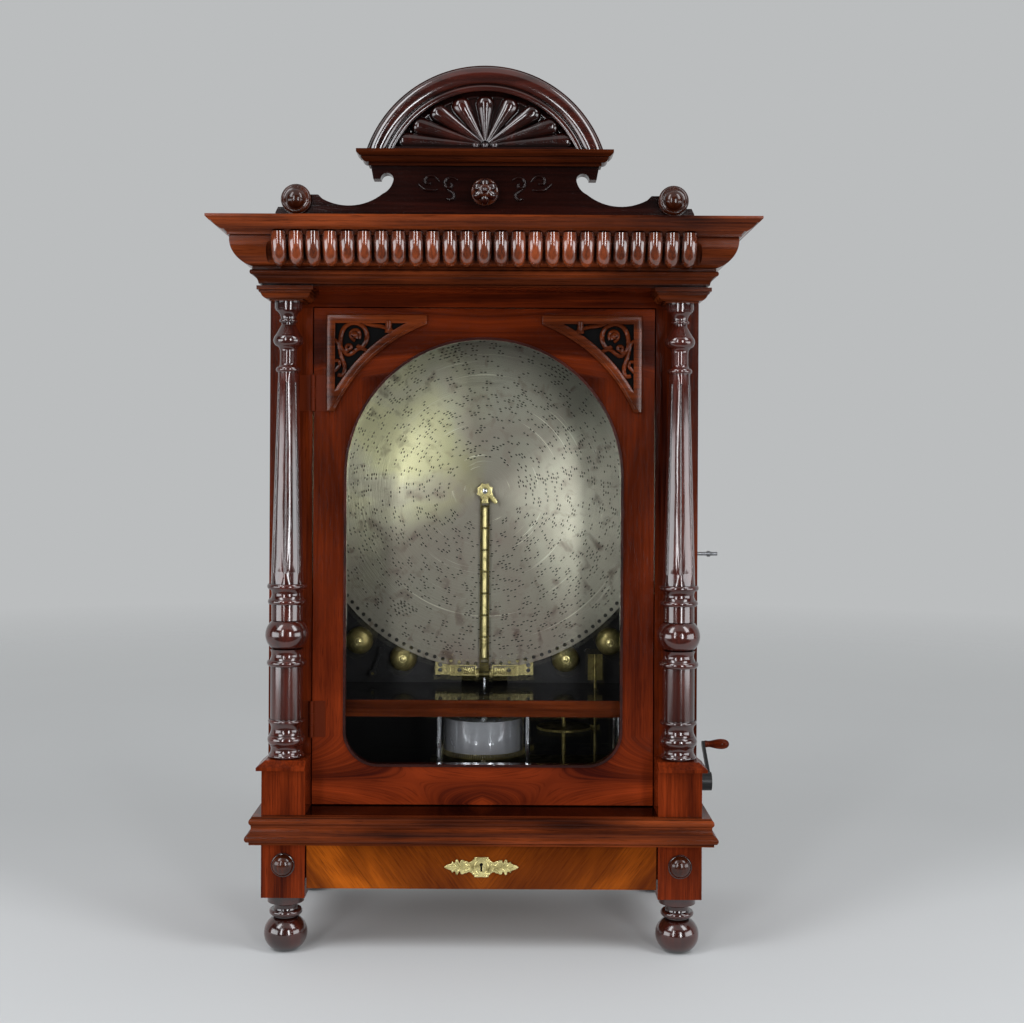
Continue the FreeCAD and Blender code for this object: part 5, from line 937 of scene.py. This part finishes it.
class DiscPunchings(bpy.types.Operator):
    """Lays dark plates through the tune disc, painted shade for its punched slots: short slots along its tracks
    and three close clusters.
    """

    bl_idname = "musicbox.disc_punchings"
    bl_label = "Disc punchings"

    def execute(self, context):
        sizes = context.scene.musicbox_carving
        low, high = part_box("tune_disc")
        centre = (low.z + high.z) / 2
        clear_hands()
        bpy.ops.mesh.primitive_cube_add(size=1, location=(0, 0, 0))
        slot = bpy.context.object
        slot.scale = (sizes.slot_length, high.y - low.y + 0.0005, sizes.slot_width)
        fix_place()
        open_mesh()
        bpy.ops.mesh.bevel(offset=sizes.slot_width * 0.22, segments=1)
        close_mesh()
        corners = [v.co.copy() for v in slot.data.vertices]
        faces = [tuple(p.vertices) for p in slot.data.polygons]
        middle = low.y - 0.0001 + (high.y - low.y + 0.0005) / 2
        chance = random.Random(TUNE_SEED)
        points, sheets = [], []
        for reach, turn in self.tune(chance) + self.combs():
            base = len(points)
            place = Matrix.Translation((reach * math.cos(turn), middle, centre + reach * math.sin(turn)))
            lie = place @ Matrix.Rotation(-turn - QUARTER, 4, "Y")
            points += [lie @ c for c in corners]
            sheets += [tuple(base + i for i in f) for f in faces]
        slot.data.clear_geometry()
        slot.data.from_pydata(points, [], sheets)
        slot.data.update()
        # Painted shade: the slots are dark plates for the shade seen through punched holes.
        settle(slot, "disc_punchings", "disc", "hole_shade_black", 30.0)
        return {"FINISHED"}

    def tune(self, chance):
        """Reach and turn of every slot of the tune, closer together in some parts of a track than in others."""
        places = []
        for track in range(TRACKS):
            reach = FIRST_TRACK + track * TRACK_PITCH
            turn = chance.uniform(0, 0.3)
            while turn < 2 * math.pi:
                dense = 0.55 + 0.45 * math.sin(turn * 2.0 + track * 0.21)
                gap = (0.008 + chance.expovariate(1.0) * 0.025 / (0.45 + dense)) / reach
                for i in range(chance.choice((1, 1, 2, 2, 2))):
                    places.append((reach, turn + i * 0.0058 / reach))
                turn += gap + 0.01 / reach
        return places

    def combs(self):
        """The three clusters of close parallel slots."""
        places = []
        for reach, turn, rows, columns in ((0.215, 1.76, 4, 4), (0.215, 0.93, 4, 4), (0.216, -2.25, 5, 4)):
            for row in range(rows):
                for column in range(columns):
                    places.append((reach - row * 0.0044, turn + (column * 0.0074 + row * 0.003) / reach))
        return places


class BarLatch(bpy.types.Operator):
    """Makes the star nut, the finger, the neck and the screw of the latch at the eye of the pressure bar."""

    bl_idname = "musicbox.bar_latch"
    bl_label = "Bar latch"

    def execute(self, context):
        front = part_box("pressure_bar")[0].y
        eye = (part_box("disc_spindle")[0].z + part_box("disc_spindle")[1].z) / 2
        star = []
        for i in range(16):
            reach = 11.5 if i % 2 else 9.0
            star.append((reach * math.cos(math.pi * i / 8), reach * math.sin(math.pi * i / 8)))
        hole = [(5.0 * math.cos(math.pi * i / 10), 5.0 * math.sin(math.pi * i / 10)) for i in range(20)]
        nut = cut_sheet([flat(star, eye), flat(hole, eye)], 0.003, 0.0008, front - 0.0012)
        pointer = (
            (7, -2), (9, -4), (12.5, -8), (17, -13.5), (17.6, -17), (14.6, -18), (10.5, -14.5),
            (7, -10), (5, -6.5))
        finger = cut_sheet([flat(pointer, eye)], 0.0016, 0.0005, front - 0.0004)
        waist = (
            (-3, -6), (-4.6, -9.5), (-3.4, -13), (-4.6, -17), (4.6, -17), (3.4, -13), (4.6, -9.5),
            (3, -6))
        neck = cut_sheet([flat(waist, eye)], 0.003, 0.0006, front + 0.0006)
        settle(unite([nut, finger, neck]), "bar_latch", "bar", "bright_brass", 35.0)
        rings = flat([(4.7, 0), (4.7, 1.2), (4, 2.2), (2, 2.8)])
        screw = turned(rings, 20, (0, front + 0.0004, eye), FORWARD)
        settle(screw, "latch_screw", "bar", "turned_steel", 40.0)
        return {"FINISHED"}


class BracketLeaves(bpy.types.Operator):
    """Lays the raised frames and leaf ribs on the brass bracket under the disc."""

    bl_idname = "musicbox.bracket_leaves"
    bl_label = "Bracket leaves"

    def execute(self, context):
        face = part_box("drive_bracket")[0].y
        edge = [(12, 336), (49, 336), (49, 350), (12, 350), (12, 336)]
        pieces = [stroke(drawn(ends, face), 0.001) for ends in zip(edge, edge[1:])]
        for i in range(6):
            across = 14.5 + i * 2.9
            rib = [(across, 338.6), (across + 1.6, 341.0), (across + 2.0, 344.0), (across + 0.6, 347.4)]
            pieces.append(stroke(drawn(rib, face), 0.0012, [0.5, 1.1, 1.1, 0.4]))
        right = unite(pieces)
        settle(unite([right, mirrored(right)]), "bracket_leaves", "case", "bright_brass", 50.0)
        return {"FINISHED"}


class BellNuts(bpy.types.Operator):
    """Turns the stepped nuts at the crowns of the bells."""

    bl_idname = "musicbox.bell_nuts"
    bl_label = "Bell nuts"

    def execute(self, context):
        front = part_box("bells")[0].y
        rings = flat([(7.8, 0), (7.4, 1.4), (4.2, 1.8), (4.2, 3.4), (2.6, 4.4), (0.8, 4.7)])
        nuts = [
            turned(rings, 24, (side * across, front + 0.0016, rise), FORWARD)
            for across, rise in BELL_CENTRES for side in (-1, 1)]
        settle(unite(nuts), "bell_nuts", "case", "bright_brass", 40.0)
        return {"FINISHED"}


class CrankGrip(bpy.types.Operator):
    """Turns the wooden grip of the crank."""

    bl_idname = "musicbox.crank_grip"
    bl_label = "Crank grip"

    def execute(self, context):
        low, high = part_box("crank_handle")
        swell = (
            (0.0, 5.2), (0.08, 5.0), (0.14, 4.6), (0.2, 4.7), (0.28, 5.2), (0.36, 5.9), (0.46, 6.7),
            (0.56, 7.25), (0.66, 7.5), (0.74, 7.4), (0.82, 6.9), (0.89, 6.0), (0.94, 4.9), (0.98, 3.2),
            (1.0, 1.2))
        span = high.x - low.x
        rings = [(radius / 1000, share * span) for share, radius in swell]
        place = (low.x, (low.y + high.y) / 2, (low.z + high.z) / 2)
        grip = turned(rings, 32, place, (0, QUARTER, 0))
        grip = settle(grip, "crank_grip", "handle", "grip_wood", 50.0)
        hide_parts("crank_handle")
        return {"FINISHED"}


def sheet(name, finish, sides, place, turn=(0, 0, 0), unseen=()):
    """A flat sheet of the stage, left out of some kinds of ray."""
    clear_hands()
    bpy.ops.mesh.primitive_plane_add(size=1, location=place, rotation=turn)
    piece = bpy.context.object
    piece.name = name
    piece.scale = (*sides, 1.0)
    fix_place()
    piece.data.materials.append(finish.material)
    for ray in unseen:
        setattr(piece, "visible_" + ray, False)
    return piece


class Stage(bpy.types.Operator):
    """Sets the floor, the surroundings, the dark curtains and card, the lamps and the camera."""

    bl_idname = "musicbox.stage"
    bl_label = "Stage"

    def execute(self, context):
        scene = context.scene
        look = scene.musicbox_stage
        finish = Finish("floor_paper", Specular_IOR_Level=0.0)
        mottle = finish.place.noise(1.5, 3.0)
        finish.set(Base_Color=mottle.span(0.3, 0.7).blend(dim(look.floor, 0.98), tuple(look.floor)))
        finish.set(Roughness=0.9)
        x, y, _ = finish.place.split()
        finish.set(Alpha=((x * x + y * y) ** 0.5).span(1.2, 5.0, 1.0, 0.0))
        floor = sheet("floor", finish, (60.0, 60.0), (0, 0, 0))
        world = bpy.data.worlds.new("studio")
        world.use_nodes = True
        backdrop = world.node_tree.nodes["Background"]
        backdrop.inputs["Color"].default_value = (*look.room, 1)
        backdrop.inputs["Strength"].default_value = 1.0
        scene.world = world
        cloth = Finish("curtain_cloth", Specular_IOR_Level=0.0, Roughness=1.0)
        folds = cloth.place.noise((9.0, 9.0, 0.6), 2.0)
        cloth.set(Base_Color=folds.span(0.3, 0.7).blend((0.04, 0.04, 0.04), (0.07, 0.07, 0.07)))
        hangings = (
            ("curtain_front", (0, -3.3), 0, 6.0),
            ("curtain_left", (-3.0, -1.6), QUARTER, 3.4),
            ("curtain_right", (3.0, -1.6), QUARTER, 3.4),
        )
        for name, (across, deep), turn, wide in hangings:
            curtain = sheet(name, cloth, (wide, 3.0), (across, deep, 1.5), (QUARTER, 0, turn), ("camera",))
        reflected_only = ("camera", "diffuse", "shadow", "transmission")
        card = sheet("floor_card", cloth, (3.0, 2.7), (0, -1.9, 0.004), unseen=reflected_only)
        lamps = (
            ("panel_left", (-1.55, -1.55, 2.85), (0.8, 2.7), 0.88),
            ("panel_right", (1.75, -1.35, 2.85), (0.8, 2.7), 0.88),
            ("low_left", (-1.8, -1.15, 0.47), (1.4, 0.8), 0.31),
            ("low_right", (1.9, -1.05, 0.47), (1.4, 0.8), 0.31),
            ("strip_left", (-0.96, -2.6, 1.15), (0.3, 1.9), 0.43),
            ("strip_right", (0.92, -2.6, 0.75), (0.3, 1.4), 0.43),
        )
        for name, place, sides, share in lamps:
            clear_hands()
            bpy.ops.object.light_add(type="AREA", location=place)
            lamp = context.object
            lamp.name = name
            lamp.data.shape = "RECTANGLE"
            lamp.data.size, lamp.data.size_y = sides
            lamp.data.energy = look.lamp * share
            lamp.data.color = (0.95, 0.97, 1.0)
            lamp.visible_camera = False
            aim = Vector((0, -0.1, 0.7)) - lamp.location
            aim.z = 0
            lamp.rotation_euler = aim.to_track_quat("-Z", "Y").to_euler()
        bpy.ops.object.camera_add(location=look.eye, rotation=(QUARTER, look.roll, 0))
        camera = context.object
        camera.data.lens = look.lens
        camera.data.sensor_width = 36
        camera.data.shift_x, camera.data.shift_y = CAMERA_SHIFT
        camera.data.clip_end = 100
        scene.camera = camera
        scene.view_settings.view_transform = "Standard"
        return {"FINISHED"}


class MusicBoxPanel(bpy.types.Panel):
    """Lists the settings and the pieces of the music box."""

    bl_idname = "VIEW3D_PT_musicbox"
    bl_label = "Music box"
    bl_space_type = "VIEW_3D"
    bl_region_type = "UI"
    bl_category = "Music Box"

    def draw(self, context):
        layout = self.layout
        for group in GROUPS:
            settings = getattr(context.scene, group)
            box = layout.box()
            for key in settings.__annotations__:
                box.prop(settings, key)
        for operator in OPERATORS:
            layout.operator(operator.bl_idname)


GROUPS = {
    "musicbox_finish": FinishSettings,
    "musicbox_carving": CarvingSettings,
    "musicbox_stage": StageSettings,
}
OPERATORS = [
    FinishParts, CrestBead, CrestFan, CrestFlower, Knobs, Gadroons, SpandrelTracery, KeyholePlate,
    DiscPunchings, BarLatch, BracketLeaves, BellNuts, CrankGrip, Stage]


def register():
    for kind in (*GROUPS.values(), *OPERATORS, MusicBoxPanel):
        bpy.utils.register_class(kind)
    for name, group in GROUPS.items():
        setattr(bpy.types.Scene, name, bpy.props.PointerProperty(type=group))


def unregister():
    for name in GROUPS:
        delattr(bpy.types.Scene, name)
    for kind in (MusicBoxPanel, *reversed(OPERATORS), *GROUPS.values()):
        bpy.utils.unregister_class(kind)


def main():
    register()
    for operator in OPERATORS:
        area, name = operator.bl_idname.split(".")
        getattr(getattr(bpy.ops, area), name)()
    clear_hands()


if __name__ == "__main__":
    main()
